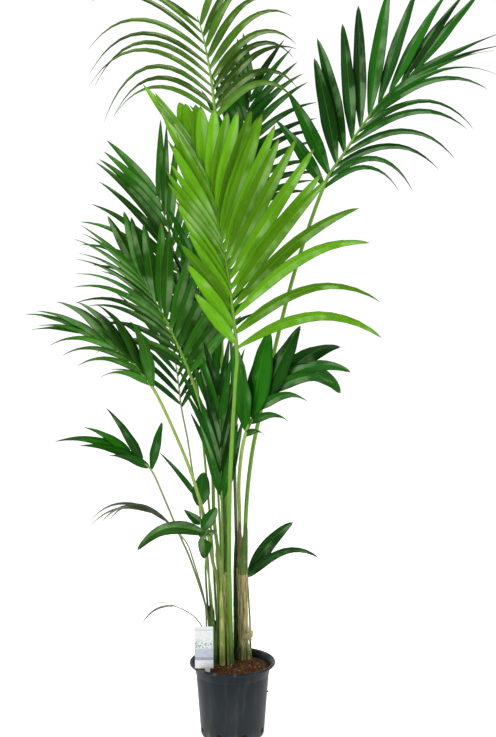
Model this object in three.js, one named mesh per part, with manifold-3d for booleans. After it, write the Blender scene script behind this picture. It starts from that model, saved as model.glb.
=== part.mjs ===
// A potted kentia palm: nursery pot, soil, plant label, four stems and their fronds.
// Millimetres. +Z is up and the origin is the centre of the pot's base.
// X runs to the right and Y away from someone who stands in front of the palm.
import * as THREE from "three";
import { mergeVertices } from "three/addons/utils/BufferGeometryUtils.js";
import Module from "manifold-3d";

const wasm = await Module();
wasm.setup();

const CLEARANCE = 0.4; // between a stem or a foot and the socket that it stands in
const UP = new THREE.Vector3(0, 0, 1);

const POT = {
  height: 175, baseRadius: 78, topRadius: 92, wall: 1.8, floor: 3,
  rimRadius: 105, rimDepth: 6.5, shoulder: 163, stepHeight: 146, stepOut: 1.2,
  drainHoles: 8, drainWidth: 13, drainLow: 9, drainHigh: 21, segments: 32,
};
const SOIL = { top: 159, mound: 4, bump: 1.6, rings: [0.6], segments: 32 };
const LABEL = {
  width: 44, height: 105, thickness: 0.9, corner: 4, stakeWidth: 12, stakeShift: 8,
  bottom: [-66.5, -62.5, 176.6], lean: 8, stakeDepth: 48,
};

const LEAF_DARK = 0x17421c;
const LEAF_MID = 0x2c6a26;
const LEAF_BRIGHT = 0x5fae27;

// Each stem is a sheath round the feet of the petioles that it holds.
const STEMS = [
  { name: "stem_right", colour: 0xa08a5c, radius: [13, 11.2, 12.2], legs: 6,
    route: [[27, 50, 120], [26, 50, 250], [24, 50, 392]] },
  { name: "stem_centre", colour: 0x7d8a3c, radius: [11.5, 11, 12], legs: 0,
    route: [[-10, 29, 120], [-13, 29, 250], [-19, 31, 385]] },
  { name: "stem_left", colour: 0x3b3f22, radius: [8.5, 8, 8.2], legs: 0,
    route: [[-29, 66, 120], [-33, 71, 210], [-38, 77, 300]] },
  { name: "stem_far_left", colour: 0x4d5a2a, radius: [7.5, 7, 7.4], legs: 0,
    route: [[-46, 60, 120], [-50, 64, 200], [-57, 70, 290]] },
];
const LEG = { out: 17, top: 222, radius: [4.4, 3], foot: 128 };

// Each frond is a petiole and rib along the route, with pairs of leaflets from the collar point on.
// radius: at the foot, the collar and the tip. face: where the blade's upper side looks.
// spread, droop, length and width: at the first and the last pair. spread: degrees between rib and leaflet.
// droop: how far a leaflet bends down, never less than none. lift: degrees out of the blade.
// sky: how far a leaflet turns its upper side to the sky on its way to the tip.
const FRONDS = [
  { name: "frond_bright", pairs: 11, sky: 0.3, face: [-0.2, -1, 0],
    colour: LEAF_BRIGHT, radius: [6.2, 4.6, 1.2], collar: 5,
    right: { spread: [64, 6], lift: 8, droop: [1.7, -3.4], length: [470, 140], width: [27, 42] },
    left: { spread: [34, 12], lift: 36, droop: [0.1, 0], length: [190, 320], width: [30, 28] },
    route: [[-4, 8, 120], [-6, 4, 300], [-8, -12, 430], [-5, -46, 630], [8, -96, 850], [12, -113, 935],
      [-6, -138, 1090], [-22, -150, 1180], [-44, -160, 1290], [-72, -166, 1365], [-86, -168, 1395]] },
  { name: "frond_top", pairs: 10, sky: 0.9, face: [0.1, -1, 0],
    colour: LEAF_MID, radius: [5, 4.6, 1.2], collar: 6,
    right: { spread: [50, 34], lift: 20, droop: [2, 0.6], length: [330, 230], width: [26, 20] },
    left: { spread: [54, 42], lift: 24, droop: [3, 1.3], length: [400, 370], width: [20, 16] },
    route: [[-13.5, 35, 335], [-17, 41, 470], [-20, 45, 640], [-26, 58, 850], [-34, 92, 1180],
      [-36, 112, 1385], [-46, 116, 1540], [-60, 118, 1660], [-80, 118, 1760], [-94, 116, 1805]] },
  { name: "frond_right", pairs: 11, sky: 0.8, face: [-0.15, -1, 0.2],
    colour: LEAF_DARK, radius: [5.4, 4.6, 1.2], collar: 5,
    right: { spread: [34, 12], lift: 22, droop: [2.8, 0], length: [300, 330], width: [16, 24] },
    left: { spread: [56, 12], lift: 16, droop: [0.45, 0.3], length: [250, 350], width: [28, 24] },
    route: [[29.5, 47, 340], [32, 40, 510], [43, 28, 644], [66, 22, 770], [142, 20, 1090],
      [222, 18, 1334], [276, 14, 1425], [358, 8, 1542], [424, 2, 1603], [462, -6, 1632]] },
  { name: "frond_back_top", pairs: 13, sky: 0.6, face: [0.35, -1, 0],
    colour: LEAF_DARK, radius: [4.4, 4, 1.2], collar: 5,
    right: { spread: [52, 22], lift: 16, droop: [0.87, 0.23], length: [300, 210], width: [23, 21] },
    left: { spread: [50, 24], lift: 22, droop: [0.58, 0.15], length: [250, 175], width: [23, 21] },
    route: [[9, 70, 120], [9, 72, 400], [4, 88, 620], [-2, 120, 850], [-12, 170, 1130],
      [-12, 190, 1280], [4, 196, 1400], [22, 200, 1500], [38, 204, 1590], [50, 206, 1670]] },
  { name: "frond_mid_right", pairs: 5, sky: 0.6, face: [-0.3, -1, 0.3],
    colour: LEAF_DARK, radius: [4.8, 4.4, 1.3], collar: 3,
    right: { spread: [36, 16], lift: 20, droop: [1.4, 0.8], length: [90, 250], width: [14, 30] },
    left: { spread: [38, -26], lift: 14, droop: [-2, 2.2], length: [255, 175], width: [42, 28] },
    route: [[18, 53, 340], [17, 40, 508], [16, -6, 619], [30, -66, 728], [62, -84, 795],
      [101, -96, 853], [136, -104, 887]] },
  { name: "frond_upper_left", pairs: 10, sky: 0.5, face: [0.3, -1, 0.2],
    colour: LEAF_MID, radius: [3.2, 3, 1.1], collar: 5,
    right: { spread: [40, 14], lift: 22, droop: [0.15, 0.05], length: [290, 260], width: [22, 26] },
    left: { spread: [46, 22], lift: 18, droop: [0.85, 0.3], length: [350, 235], width: [18, 30] },
    route: [[-41.5, 79, 250], [-51, 80, 403], [-61, 90, 529], [-78, 100, 708], [-92, 104, 840],
      [-111, 104, 991], [-134, 102, 1094], [-160, 100, 1223], [-186, 96, 1315], [-200, 92, 1355]] },
  { name: "frond_left", pairs: 12, sky: 0.6, face: [0.3, -1, 0.3],
    colour: LEAF_MID, radius: [5, 4, 1.1], collar: 5,
    right: { spread: [64, 4], lift: 22, droop: [0.15, 0.05], length: [230, 195], width: [22, 22] },
    left: { spread: [40, 14], lift: 20, droop: [1.3, 0.35], length: [290, 220], width: [15, 16] },
    route: [[-24, 27, 335], [-34, 30, 420], [-46, 18, 520], [-52, -4, 700], [-79, -16, 808],
      [-104, -18, 880], [-146, -20, 977], [-178, -22, 1037], [-214, -22, 1100], [-240, -20, 1140]] },
  { name: "frond_far_left", pairs: 6, sky: 0.8, face: [0.2, -0.9, 0.7],
    colour: LEAF_MID, radius: [4.6, 3.6, 1.1], collar: 6,
    right: { spread: [24, 0], lift: 10, droop: [1, 0.4], length: [215, 195], width: [38, 24] },
    left: { spread: [30, 4], lift: 6, droop: [1.4, 0.6], length: [165, 165], width: [13, 16] },
    route: [[-36, 24, 120], [-36, 22, 340], [-50, 8, 419], [-63, -20, 507], [-92, -55, 623],
      [-128, -82, 723], [-181, -118, 843], [-238, -132, 914], [-306, -134, 965], [-352, -132, 982]] },
  { name: "frond_low_left", pairs: 3, sky: 0.7, face: [0.2, -1, 0.5],
    colour: LEAF_DARK, radius: [3, 2.4, 1], collar: 6,
    right: { spread: [44, -8], lift: 16, droop: [0.58, 0.46], length: [95, 200], width: [24, 22] },
    left: { spread: [26, 2], lift: 10, droop: [0.72, 0.58], length: [100, 210], width: [24, 22] },
    route: [[-51, 39, 120], [-59, 45, 230], [-69, 52, 295], [-106, 40, 412], [-129, 10, 476],
      [-175, -34, 602], [-192, -54, 645], [-212, -58, 668], [-242, -62, 690], [-270, -64, 706]] },
  { name: "frond_low_right", pairs: 1, sky: 0.1, face: [-0.2, -1, 0.2],
    colour: LEAF_DARK, radius: [2.6, 2, 1.4], collar: 2,
    right: { spread: [44, 44], lift: 4, droop: [1.1, 1.1], length: [232, 232], width: [32, 32] },
    left: { spread: [-30, -30], lift: 0, droop: [0.4, 0.4], length: [182, 182], width: [41, 41] },
    route: [[45, 66, 120], [43, 67, 250], [37, 62, 361], [40, 60, 385]] },
  { name: "frond_low_front", pairs: 1, sky: 0.3, face: [0, -1, 0.6],
    colour: LEAF_MID, radius: [3, 2.4, 1.6], collar: 4,
    right: { spread: [10, 10], lift: 60, droop: [7, 7], length: [124, 124], width: [46, 46] },
    left: { spread: [6, 6], lift: 0, droop: [1.6, 1.6], length: [185, 185], width: [36, 36] },
    route: [[-60, 67.5, 240], [-66, 58, 320], [-68, 30, 400], [-60, -6, 440], [-52, -54, 486],
      [-70, -62, 499]] },
  { name: "frond_arch_left", pairs: 2, sky: 0.8, face: [0.2, -0.4, 1],
    colour: LEAF_DARK, radius: [2.2, 1.8, 0.9], collar: 5,
    right: { spread: [-6, -12], lift: 0, droop: [1.9, 1.5], length: [225, 185], width: [13, 12] },
    left: { spread: [16, 10], lift: 0, droop: [1.9, 1.04], length: [225, 185], width: [13, 12] },
    route: [[-61, 48, 120], [-67, 66, 220], [-73, 80, 300], [-102, 74, 405], [-119, 62, 453],
      [-155, 40, 499], [-176, 38, 520], [-200, 36, 534]] },
  { name: "frond_lowest_left", pairs: 1, sky: 0.8, face: [0, -0.3, 1],
    colour: LEAF_DARK, radius: [1.8, 1.3, 0.9], collar: 3,
    right: { spread: [10, 10], lift: 0, droop: [2.32, 0.88], length: [90, 90], width: [8, 8] },
    left: { spread: [10, 10], lift: 0, droop: [2.9, 1.1], length: [96, 96], width: [8, 8] },
    route: [[-62, 26, 120], [-68, 22, 225], [-92, -16, 285], [-138, -40, 318], [-150, -42, 316]] },
  { name: "frond_small_fork", pairs: 2, sky: 0.4, face: [0.2, -1, 0.2],
    colour: LEAF_DARK, radius: [2.8, 2.2, 1], collar: 3,
    right: { spread: [42, -12], lift: 20, droop: [0, 0.6], length: [98, 84], width: [22, 46] },
    left: { spread: [44, 28], lift: 8, droop: [0, 0.35], length: [16, 228], width: [25, 7] },
    route: [[-46, 8, 120], [-50, 2, 300], [-62, -12, 410], [-74, -20, 490], [-80, -20, 550],
      [-86, -20, 610]] },
  { name: "frond_inner_low", pairs: 5, sky: 0.4, face: [0.1, -1, 0.1],
    colour: LEAF_DARK, radius: [3.6, 2.8, 1], collar: 3,
    right: { spread: [15, 10], lift: 18, droop: [0.1, 0.04], length: [240, 170], width: [21, 18] },
    left: { spread: [18, 12], lift: 24, droop: [0.2, 0.1], length: [240, 170], width: [21, 18] },
    route: [[-24, 6, 120], [-25, 2, 300], [-24, -8, 450], [-26, -20, 560], [-28, -26, 660],
      [-30, -30, 760], [-34, -32, 860]] },
  { name: "frond_centre", pairs: 11, sky: 0.4, face: [-0.1, -1, 0.1],
    colour: LEAF_DARK, radius: [4.6, 3.8, 1.1], collar: 2,
    right: { spread: [15, 13], lift: 20, droop: [0.07, 0.02], length: [250, 180], width: [18, 16] },
    left: { spread: [20, 16], lift: 24, droop: [0.22, 0.07], length: [260, 190], width: [18, 16] },
    route: [[-18, 55, 120], [-20, 60, 400], [-17, 70, 572], [-31, 70, 720], [-50, 68, 888],
      [-68, 60, 989], [-84, 52, 1090], [-102, 44, 1200]] },
  { name: "frond_rear_left", pairs: 8, sky: 0.6, face: [0.1, -1, 0.1],
    colour: LEAF_DARK, radius: [2.4, 2.2, 1], collar: 6,
    right: { spread: [40, 22], lift: 20, droop: [0.43, 0.13], length: [230, 184], width: [15, 14] },
    left: { spread: [40, 20], lift: 20, droop: [0.87, 0.26], length: [280, 224], width: [15, 14] },
    route: [[-53.5, 71.5, 240], [-60, 75, 320], [-64, 78, 405], [-78, 102, 502], [-102, 122, 600],
      [-120, 140, 705], [-137, 150, 787], [-146, 152, 860], [-158, 152, 940], [-174, 152, 1020]] },
  { name: "frond_rear", pairs: 9, sky: 0.6, face: [0, -0.7, 1],
    colour: LEAF_DARK, radius: [3.2, 3, 1.1], collar: 4,
    right: { spread: [50, 24], lift: 14, droop: [0.72, 0.22], length: [220, 176], width: [23, 21] },
    left: { spread: [50, 24], lift: 16, droop: [1.16, 0.35], length: [240, 192], width: [23, 21] },
    route: [[-34, 75.5, 250], [-32, 98, 420], [-44, 150, 620], [-62, 215, 820], [-74, 265, 950],
      [-84, 330, 1060], [-92, 400, 1150], [-96, 490, 1215]] },
];

const BLADE = { steps: 24, ridge: 0.18, leastRidge: 0.9, guard: 0.35, tries: 70, turn: 3.2, tilt: 22 };
// The steps at which a blade has a cross-section, by the length that it is longer than.
const STATIONS = [
  { longer: 330, steps: [0, 3, 8, 13, 18, 24] },
  { longer: 190, steps: [0, 3, 9, 16, 24] },
  { longer: 0, steps: [0, 4, 13, 24] },
];
const RING_SPACING = { stalk: 150, blade: 52 };
const GOLDEN_ANGLE = 2.4;
const CROWD = 1.1; // above 1, leaflets stand closer together near the collar

const vec = (x, y, z) => new THREE.Vector3(x, y, z);
const at = ([x, y, z]) => vec(x, y, z);
const mix = (a, b, share) => a + (b - a) * share;
const clamp01 = (x) => Math.min(1, Math.max(0, x));
const radians = (degrees) => (degrees * Math.PI) / 180;

// A repeatable draw between -0.5 and 0.5.
function draw(seed, k) {
  const x = Math.sin(seed * 12.9898 + k * 78.233) * 43758.5453;
  return x - Math.floor(x) - 0.5;
}

// ---- solids ----

// A closed mesh as a solid: vertices are merged and faces that shrank to a line are dropped.
function toSolid(geometry) {
  const plain = geometry.clone();
  plain.deleteAttribute("normal");
  plain.deleteAttribute("uv");
  const merged = mergeVertices(plain, 1e-4);
  const index = merged.index.array;
  const faces = [];
  for (let i = 0; i < index.length; i += 3) {
    const [a, b, c] = [index[i], index[i + 1], index[i + 2]];
    if (a !== b && b !== c && c !== a) faces.push(a, b, c);
  }
  return new wasm.Manifold(new wasm.Mesh({
    numProp: 3,
    vertProperties: Float32Array.from(merged.attributes.position.array),
    triVerts: Uint32Array.from(faces),
  }));
}

function toGeometry(solid) {
  const mesh = solid.getMesh();
  const geometry = new THREE.BufferGeometry();
  geometry.setAttribute("position", new THREE.BufferAttribute(mesh.vertProperties, 3));
  geometry.setIndex(new THREE.BufferAttribute(mesh.triVerts, 1));
  geometry.computeVertexNormals();
  return geometry;
}

// Whether s lies behind the plane of p, q and r, which run counter-clockwise seen from its front.
function isBelow(p, q, r, s) {
  const front = q.clone().sub(p).cross(r.clone().sub(p));
  return front.dot(s.clone().sub(p)) <= 0;
}

// Skin over rings of equally many points, each counter-clockwise about the way to the next ring.
// A face between two rings is folded outwards where it isn't flat. The first ring is closed flat.
// tip closes the last one, which is closed flat without it.
function loft(rings, tip = null) {
  const sides = rings[0].length;
  const points = rings.flat();
  const faces = [];
  for (let i = 0; i + 1 < rings.length; i++) {
    for (let j = 0; j < sides; j++) {
      const a = i * sides + j;
      const b = i * sides + ((j + 1) % sides);
      const [c, d] = [b + sides, a + sides];
      const bulges = isBelow(points[a], points[b], points[c], points[d]);
      faces.push(...(bulges ? [a, b, c, a, c, d] : [a, b, d, b, c, d]));
    }
  }
  const last = (rings.length - 1) * sides;
  for (let j = 1; j + 1 < sides; j++) faces.push(0, j + 1, j);
  if (tip) {
    for (let j = 0; j < sides; j++) faces.push(last + j, last + ((j + 1) % sides), points.length);
    points.push(tip);
  } else {
    for (let j = 1; j + 1 < sides; j++) faces.push(last, last + j, last + j + 1);
  }
  const geometry = new THREE.BufferGeometry().setFromPoints(points);
  geometry.setIndex(faces);
  return geometry;
}

function polarRing(radius, z, segments) {
  return Array.from({ length: segments }, (_, j) => {
    const angle = (2 * Math.PI * j) / segments;
    const [x, y] = [radius * Math.cos(angle), radius * Math.sin(angle)];
    return vec(x, y, typeof z === "function" ? z(x, y) : z);
  });
}

// ---- pot, soil and label ----

// Inner radius of the pot's wall at a height.
function innerRadius(z) {
  return mix(POT.baseRadius, POT.topRadius, z / POT.shoulder) - POT.wall;
}

function potProfile() {
  const { height, baseRadius, floor, rimRadius, rimDepth, shoulder, stepHeight, stepOut, topRadius } = POT;
  const step = innerRadius(stepHeight) + POT.wall - stepOut;
  return [
    [0, 0], [baseRadius - 3, 0], [baseRadius - 0.6, 2.4], [step, stepHeight],
    [step + stepOut, stepHeight + 1.5], [topRadius, shoulder], [topRadius + 4, shoulder + 4],
    [rimRadius - 4, height - rimDepth + 1], [rimRadius - 1.2, height - rimDepth],
    [rimRadius, height - rimDepth + 1.6], [rimRadius - 0.8, height - 1.6], [rimRadius - 3.4, height],
    [rimRadius - 6.5, height - 1.2], [topRadius + 1, shoulder + 4.6], [innerRadius(shoulder), shoulder - 1],
    [innerRadius(floor), floor], [0, floor],
  ].map(([r, z]) => new THREE.Vector2(r, z));
}

function drainHole(index) {
  const { drainWidth, drainLow, drainHigh, baseRadius } = POT;
  const box = new THREE.BoxGeometry(16, drainWidth, drainHigh - drainLow);
  box.translate(baseRadius, 0, (drainLow + drainHigh) / 2);
  box.rotateZ((2 * Math.PI * (index + 0.5)) / POT.drainHoles);
  return toSolid(box);
}

function potSolid() {
  const lathe = new THREE.LatheGeometry(potProfile(), POT.segments);
  lathe.rotateX(Math.PI / 2); // the profile's axis is +Y in three.js
  const holes = Array.from({ length: POT.drainHoles }, (_, i) => drainHole(i));
  return toSolid(lathe).subtract(wasm.Manifold.union(holes));
}

// The soil's surface: a low mound with bumps.
function soilHeight(x, y) {
  const r = Math.hypot(x, y) / POT.topRadius;
  const bumps = Math.sin(x * 0.19 + 1) * Math.cos(y * 0.23) + 0.6 * Math.sin(x * 0.07 - y * 0.41);
  return SOIL.top + SOIL.mound * (1 - r * r) * 0.6 + SOIL.bump * bumps * (1 - r);
}

function soilSolid() {
  const low = POT.floor + CLEARANCE;
  const edge = innerRadius(SOIL.top) - CLEARANCE;
  const rings = [
    polarRing(innerRadius(low) - CLEARANCE, low, SOIL.segments),
    polarRing(edge, SOIL.top, SOIL.segments),
    ...SOIL.rings.map((share) => polarRing(edge * share, soilHeight, SOIL.segments)),
  ];
  return toSolid(loft(rings, vec(0, 0, soilHeight(0, 0))));
}

// A plate with round upper corners that narrows to a stake, leaning a little to the front.
function labelSolid() {
  const { width, height, corner, stakeWidth, stakeShift, stakeDepth, thickness, lean, bottom } = LABEL;
  const half = width / 2;
  const outline = new THREE.Shape();
  outline.moveTo(-half, 0);
  outline.lineTo(stakeShift - stakeWidth / 2, 0);
  outline.lineTo(stakeShift - stakeWidth / 2, -stakeDepth + stakeWidth);
  outline.lineTo(stakeShift, -stakeDepth);
  outline.lineTo(stakeShift + stakeWidth / 2, -stakeDepth + stakeWidth);
  outline.lineTo(stakeShift + stakeWidth / 2, 0);
  outline.lineTo(half, 0);
  outline.lineTo(half, height - corner);
  outline.absarc(half - corner, height - corner, corner, 0, Math.PI / 2, false);
  outline.absarc(corner - half, height - corner, corner, Math.PI / 2, Math.PI, false);
  outline.closePath();
  const form = { depth: thickness, bevelEnabled: false, curveSegments: 4 };
  const plate = new THREE.ExtrudeGeometry(outline, form);
  plate.rotateX(Math.PI / 2 + radians(lean));
  plate.translate(...bottom);
  return toSolid(plate);
}

// ---- tubes: stems, petioles and ribs ----

function routeOf(points) {
  const curve = new THREE.CatmullRomCurve3(points.map(at), false, "catmullrom", 0.5);
  curve.arcLengthDivisions = 400;
  return curve;
}

// Share of the route's length at which its point number index lies.
function shareOf(curve, index) {
  const lengths = curve.getLengths();
  const place = (index / (curve.points.length - 1)) * (lengths.length - 1);
  const low = Math.min(Math.floor(place), lengths.length - 2);
  return mix(lengths[low], lengths[low + 1], place - low) / lengths[lengths.length - 1];
}

// Radius at a share of the route, straight between the foot, the collar and the tip.
function radiusAt([foot, collar, tip], collarShare, share) {
  if (share < collarShare) return mix(foot, collar, share / collarShare);
  return mix(collar, tip, (share - collarShare) / (1 - collarShare));
}

// The directions across and out of a frond's blade at a share of its route.
function crossFrame(curve, share, face) {
  const along = curve.getTangentAt(share);
  const out = face.clone().addScaledVector(along, -face.dot(along)).normalize();
  return { along, out, across: along.clone().cross(out) };
}

function tubeRings(curve, shares, radiusOf, face, sides, extra) {
  return shares.map((share, i) => {
    const { along, out, across } = crossFrame(curve, share, face);
    const centre = curve.getPointAt(share).addScaledVector(along, i === 0 ? -extra : 0);
    const radius = radiusOf(share) + extra;
    return Array.from({ length: sides }, (_, j) => {
      const angle = (2 * Math.PI * j) / sides;
      return centre.clone().addScaledVector(across, radius * Math.cos(angle))
        .addScaledVector(out, -radius * Math.sin(angle));
    });
  });
}

function evenShares(from, to, count) {
  return Array.from({ length: count }, (_, i) => mix(from, to, i / (count - 1)));
}

const STEM_SIDES = 8;
const STEM_RINGS = 4;
const STEM_FACE = vec(0, -1, 0);

function stemTube({ route, radius }, extra = 0) {
  const curve = routeOf(route);
  const rings = tubeRings(curve, evenShares(0, 1, STEM_RINGS), (s) => radiusAt(radius, 0.5, s),
    STEM_FACE, STEM_SIDES, extra);
  return toSolid(loft(rings));
}

// Short prop roots that spread from the foot of a stem into the soil.
function legTube(stem, index, extra = 0) {
  const curve = routeOf(stem.route);
  const angle = (2 * Math.PI * (index + 0.3)) / stem.legs;
  const reach = LEG.out + 3 * draw(7, index);
  const top = curve.getPointAt(0.35);
  top.z = LEG.top + 26 * draw(8, index);
  const foot = curve.getPointAt(0).add(vec(reach * Math.cos(angle), reach * Math.sin(angle), 0));
  foot.z = LEG.foot;
  const knee = vec(foot.x, foot.y, SOIL.top + 22).lerp(top, 0.2);
  const leg = routeOf([top.toArray(), knee.toArray(), foot.toArray()]);
  const rings = tubeRings(leg, evenShares(0, 1, 4), (s) => mix(LEG.radius[0], LEG.radius[1], s),
    STEM_FACE, 6, extra);
  const end = leg.getPointAt(1).addScaledVector(leg.getTangentAt(1), extra + 1);
  return toSolid(loft(rings, end));
}

function stemBody(stem, extra = 0) {
  const legs = Array.from({ length: stem.legs }, (_, i) => legTube(stem, i, extra));
  return wasm.Manifold.union([stemTube(stem, extra), ...legs]);
}

// ---- fronds ----

function prepareFrond(frond, seed) {
  const curve = routeOf(frond.route);
  const collar = shareOf(curve, frond.collar);
  return { ...frond, seed, curve, collarShare: collar, faceDir: at(frond.face).normalize() };
}

function ribTube(frond, extra = 0) {
  const length = frond.curve.getLength();
  const stalk = Math.max(4, Math.round((frond.collarShare * length) / RING_SPACING.stalk));
  const blade = Math.max(2, Math.round(((1 - frond.collarShare) * length) / RING_SPACING.blade));
  const shares = [
    ...evenShares(0, frond.collarShare, stalk + 1),
    ...evenShares(frond.collarShare, 1, blade + 1).slice(1),
  ];
  const sides = frond.radius[0] > 3.4 ? 6 : 5;
  return loft(tubeRings(frond.curve, shares,
    (s) => radiusAt(frond.radius, frond.collarShare, s), frond.faceDir, sides, extra));
}

// Leaflet number k of a frond: where it starts, its way, its size and its bend.
// Even numbers stand on the right of the rib and odd ones on the left, seen from the blade's face.
// turn adds degrees to the spread and lift, to bend a leaflet clear of its neighbours.
function leafletPlan(frond, k, turn) {
  const side = k % 2 === 0 ? 1 : -1;
  const form = side > 0 ? frond.right : frond.left;
  const share = Math.min(0.985, (Math.floor(k / 2) + (side > 0 ? 0.15 : 0.45)) / frond.pairs);
  const between = ([first, last]) => mix(first, last, share);
  const jitter = (c) => draw(frond.seed, k + 100 * c);
  const place = mix(frond.collarShare, 1, share ** CROWD);
  const { along, out, across } = crossFrame(frond.curve, place, frond.faceDir);
  const spread = radians(between(form.spread) + 5 * jitter(1) + turn[0]);
  const lift = radians(form.lift + 6 * jitter(2) + turn[1]);
  const fullness = 0.62 + 0.38 * Math.sin(Math.PI * clamp01(0.12 + 0.8 * share)) ** 0.8;
  const scale = fullness * (1 + 0.12 * jitter(3));
  const tilt = radians(BLADE.tilt);
  const start = along.clone().multiplyScalar(Math.cos(spread))
    .addScaledVector(across, Math.sin(spread) * side * Math.cos(lift))
    .addScaledVector(out, Math.sin(spread) * Math.sin(lift));
  const upper = along.clone().cross(start).multiplyScalar(-side * Math.sign(spread)).normalize();
  const forward = along.clone().addScaledVector(start, -along.dot(start)).normalize();
  upper.multiplyScalar(Math.cos(tilt)).addScaledVector(forward, -Math.sin(tilt));
  if (upper.z < 0) upper.negate();
  return {
    root: frond.curve.getPointAt(place),
    start,
    upper,
    length: between(form.length) * scale,
    width: between(form.width) * (1 + 0.14 * jitter(4)),
    droop: Math.max(0, between(form.droop)) * scale * (1 + 0.5 * jitter(5)),
    sky: frond.sky,
    rib: radiusAt(frond.radius, frond.collarShare, place),
  };
}

function bladeDirection(plan, u) {
  return plan.start.clone().addScaledVector(UP, -plan.droop * u ** 1.7).normalize();
}

// Half the blade's width: narrow at the root, widest before the middle, pointed at the tip.
function bladeHalfWidth(plan, u) {
  const root = 0.35 + 0.65 * Math.sin((Math.min(1, u / 0.3) * Math.PI) / 2);
  return 0.5 * plan.width * root * (1 - u) ** 0.8 * (1 + 0.8 * u);
}

// The leaflet as a blade with a ridge along its middle, three corners at each station.
// guard makes it thicker all round.
function leafletMesh(plan, guard = 0) {
  const centres = [plan.root.clone()];
  for (let i = 0; i < BLADE.steps; i++) {
    const way = bladeDirection(plan, (i + 0.5) / BLADE.steps);
    centres.push(centres[i].clone().addScaledVector(way, plan.length / BLADE.steps));
  }
  const stations = STATIONS.find(({ longer }) => plan.length > longer).steps;
  const rings = stations.slice(0, -1).map((step) => {
    const u = step / BLADE.steps;
    const way = bladeDirection(plan, u);
    const upper = plan.upper.clone().lerp(UP, plan.sky * u);
    upper.addScaledVector(way, -upper.dot(way)).normalize();
    const across = upper.clone().cross(way);
    const half = step === 0 ? Math.min(bladeHalfWidth(plan, 0), 0.8 * plan.rib) : bladeHalfWidth(plan, u);
    const ridge = Math.max(BLADE.leastRidge, BLADE.ridge * half);
    const centre = centres[step];
    return [
      centre.clone().addScaledVector(across, -half - 2 * guard).addScaledVector(upper, -guard),
      centre.clone().addScaledVector(across, half + 2 * guard).addScaledVector(upper, -guard),
      centre.clone().addScaledVector(upper, ridge + 2 * guard),
    ];
  });
  const end = centres[BLADE.steps].clone().addScaledVector(bladeDirection(plan, 1), 2 * guard);
  return loft(rings, end);
}

// ---- bending leaflets clear of the other nodes ----

// A mesh as triangles of plain numbers, with the box round it.
function triangleList(geometry) {
  const position = geometry.attributes.position;
  const index = geometry.index.array;
  const corners = Array.from({ length: position.count }, (_, i) =>
    [position.getX(i), position.getY(i), position.getZ(i)]);
  const low = [0, 1, 2].map((axis) => Math.min(...corners.map((c) => c[axis])));
  const high = [0, 1, 2].map((axis) => Math.max(...corners.map((c) => c[axis])));
  const triangles = [];
  for (let i = 0; i < index.length; i += 3) {
    triangles.push([corners[index[i]], corners[index[i + 1]], corners[index[i + 2]]]);
  }
  return { triangles, low, high };
}

const boxesMeet = (a, b) => [0, 1, 2].every((i) => a.low[i] <= b.high[i] && b.low[i] <= a.high[i]);

// Six times the volume between a triangle and a point: its sign tells the point's side.
function volume(a, b, c, d) {
  const [x1, y1, z1] = [b[0] - a[0], b[1] - a[1], b[2] - a[2]];
  const [x2, y2, z2] = [c[0] - a[0], c[1] - a[1], c[2] - a[2]];
  const [x3, y3, z3] = [d[0] - a[0], d[1] - a[1], d[2] - a[2]];
  return x3 * (y1 * z2 - z1 * y2) + y3 * (z1 * x2 - x1 * z2) + z3 * (x1 * y2 - y1 * x2);
}

function edgePierces(p, q, [a, b, c]) {
  if (volume(a, b, c, p) > 0 === volume(a, b, c, q) > 0) return false;
  const first = volume(p, q, a, b) > 0;
  return first === volume(p, q, b, c) > 0 && first === volume(p, q, c, a) > 0;
}

const crosses = (one, other) => one.triangles.some(([a, b, c]) =>
  other.triangles.some((t) => edgePierces(a, b, t) || edgePierces(b, c, t) || edgePierces(c, a, t)));

const collides = (one, other) => boxesMeet(one, other) && (crosses(one, other) || crosses(other, one));

// Turns to try, on a spiral that widens from none.
function turnOf(attempt) {
  const reach = BLADE.turn * Math.sqrt(attempt);
  const angle = GOLDEN_ANGLE * attempt;
  return [reach * Math.cos(angle), 1.6 * reach * Math.sin(angle)];
}

// The frond's leaflets, each with the smallest turn that keeps it clear of what stands already.
// A leaflet that no turn clears is left out.
function growLeaflets(frond, standing) {
  const plans = [];
  for (let k = 0; k < 2 * frond.pairs; k++) {
    for (let attempt = 0; attempt < BLADE.tries; attempt++) {
      const plan = leafletPlan(frond, k, turnOf(attempt));
      const guard = triangleList(leafletMesh(plan, BLADE.guard));
      if (standing.some(({ owner, shape }) => owner !== frond.name && collides(guard, shape))) continue;
      standing.push({ owner: frond.name, shape: guard });
      plans.push(plan);
      break;
    }
  }
  return plans;
}

function frondSolid(frond, plans) {
  return wasm.Manifold.union([
    toSolid(ribTube(frond)),
    ...plans.map((plan) => toSolid(leafletMesh(plan))),
  ]);
}

// ---- the whole palm ----

function piece(name, solid, colour, roughness) {
  const material = new THREE.MeshStandardMaterial({ color: colour, roughness, metalness: 0 });
  const mesh = new THREE.Mesh(toGeometry(solid), material);
  mesh.name = name;
  return mesh;
}

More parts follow.
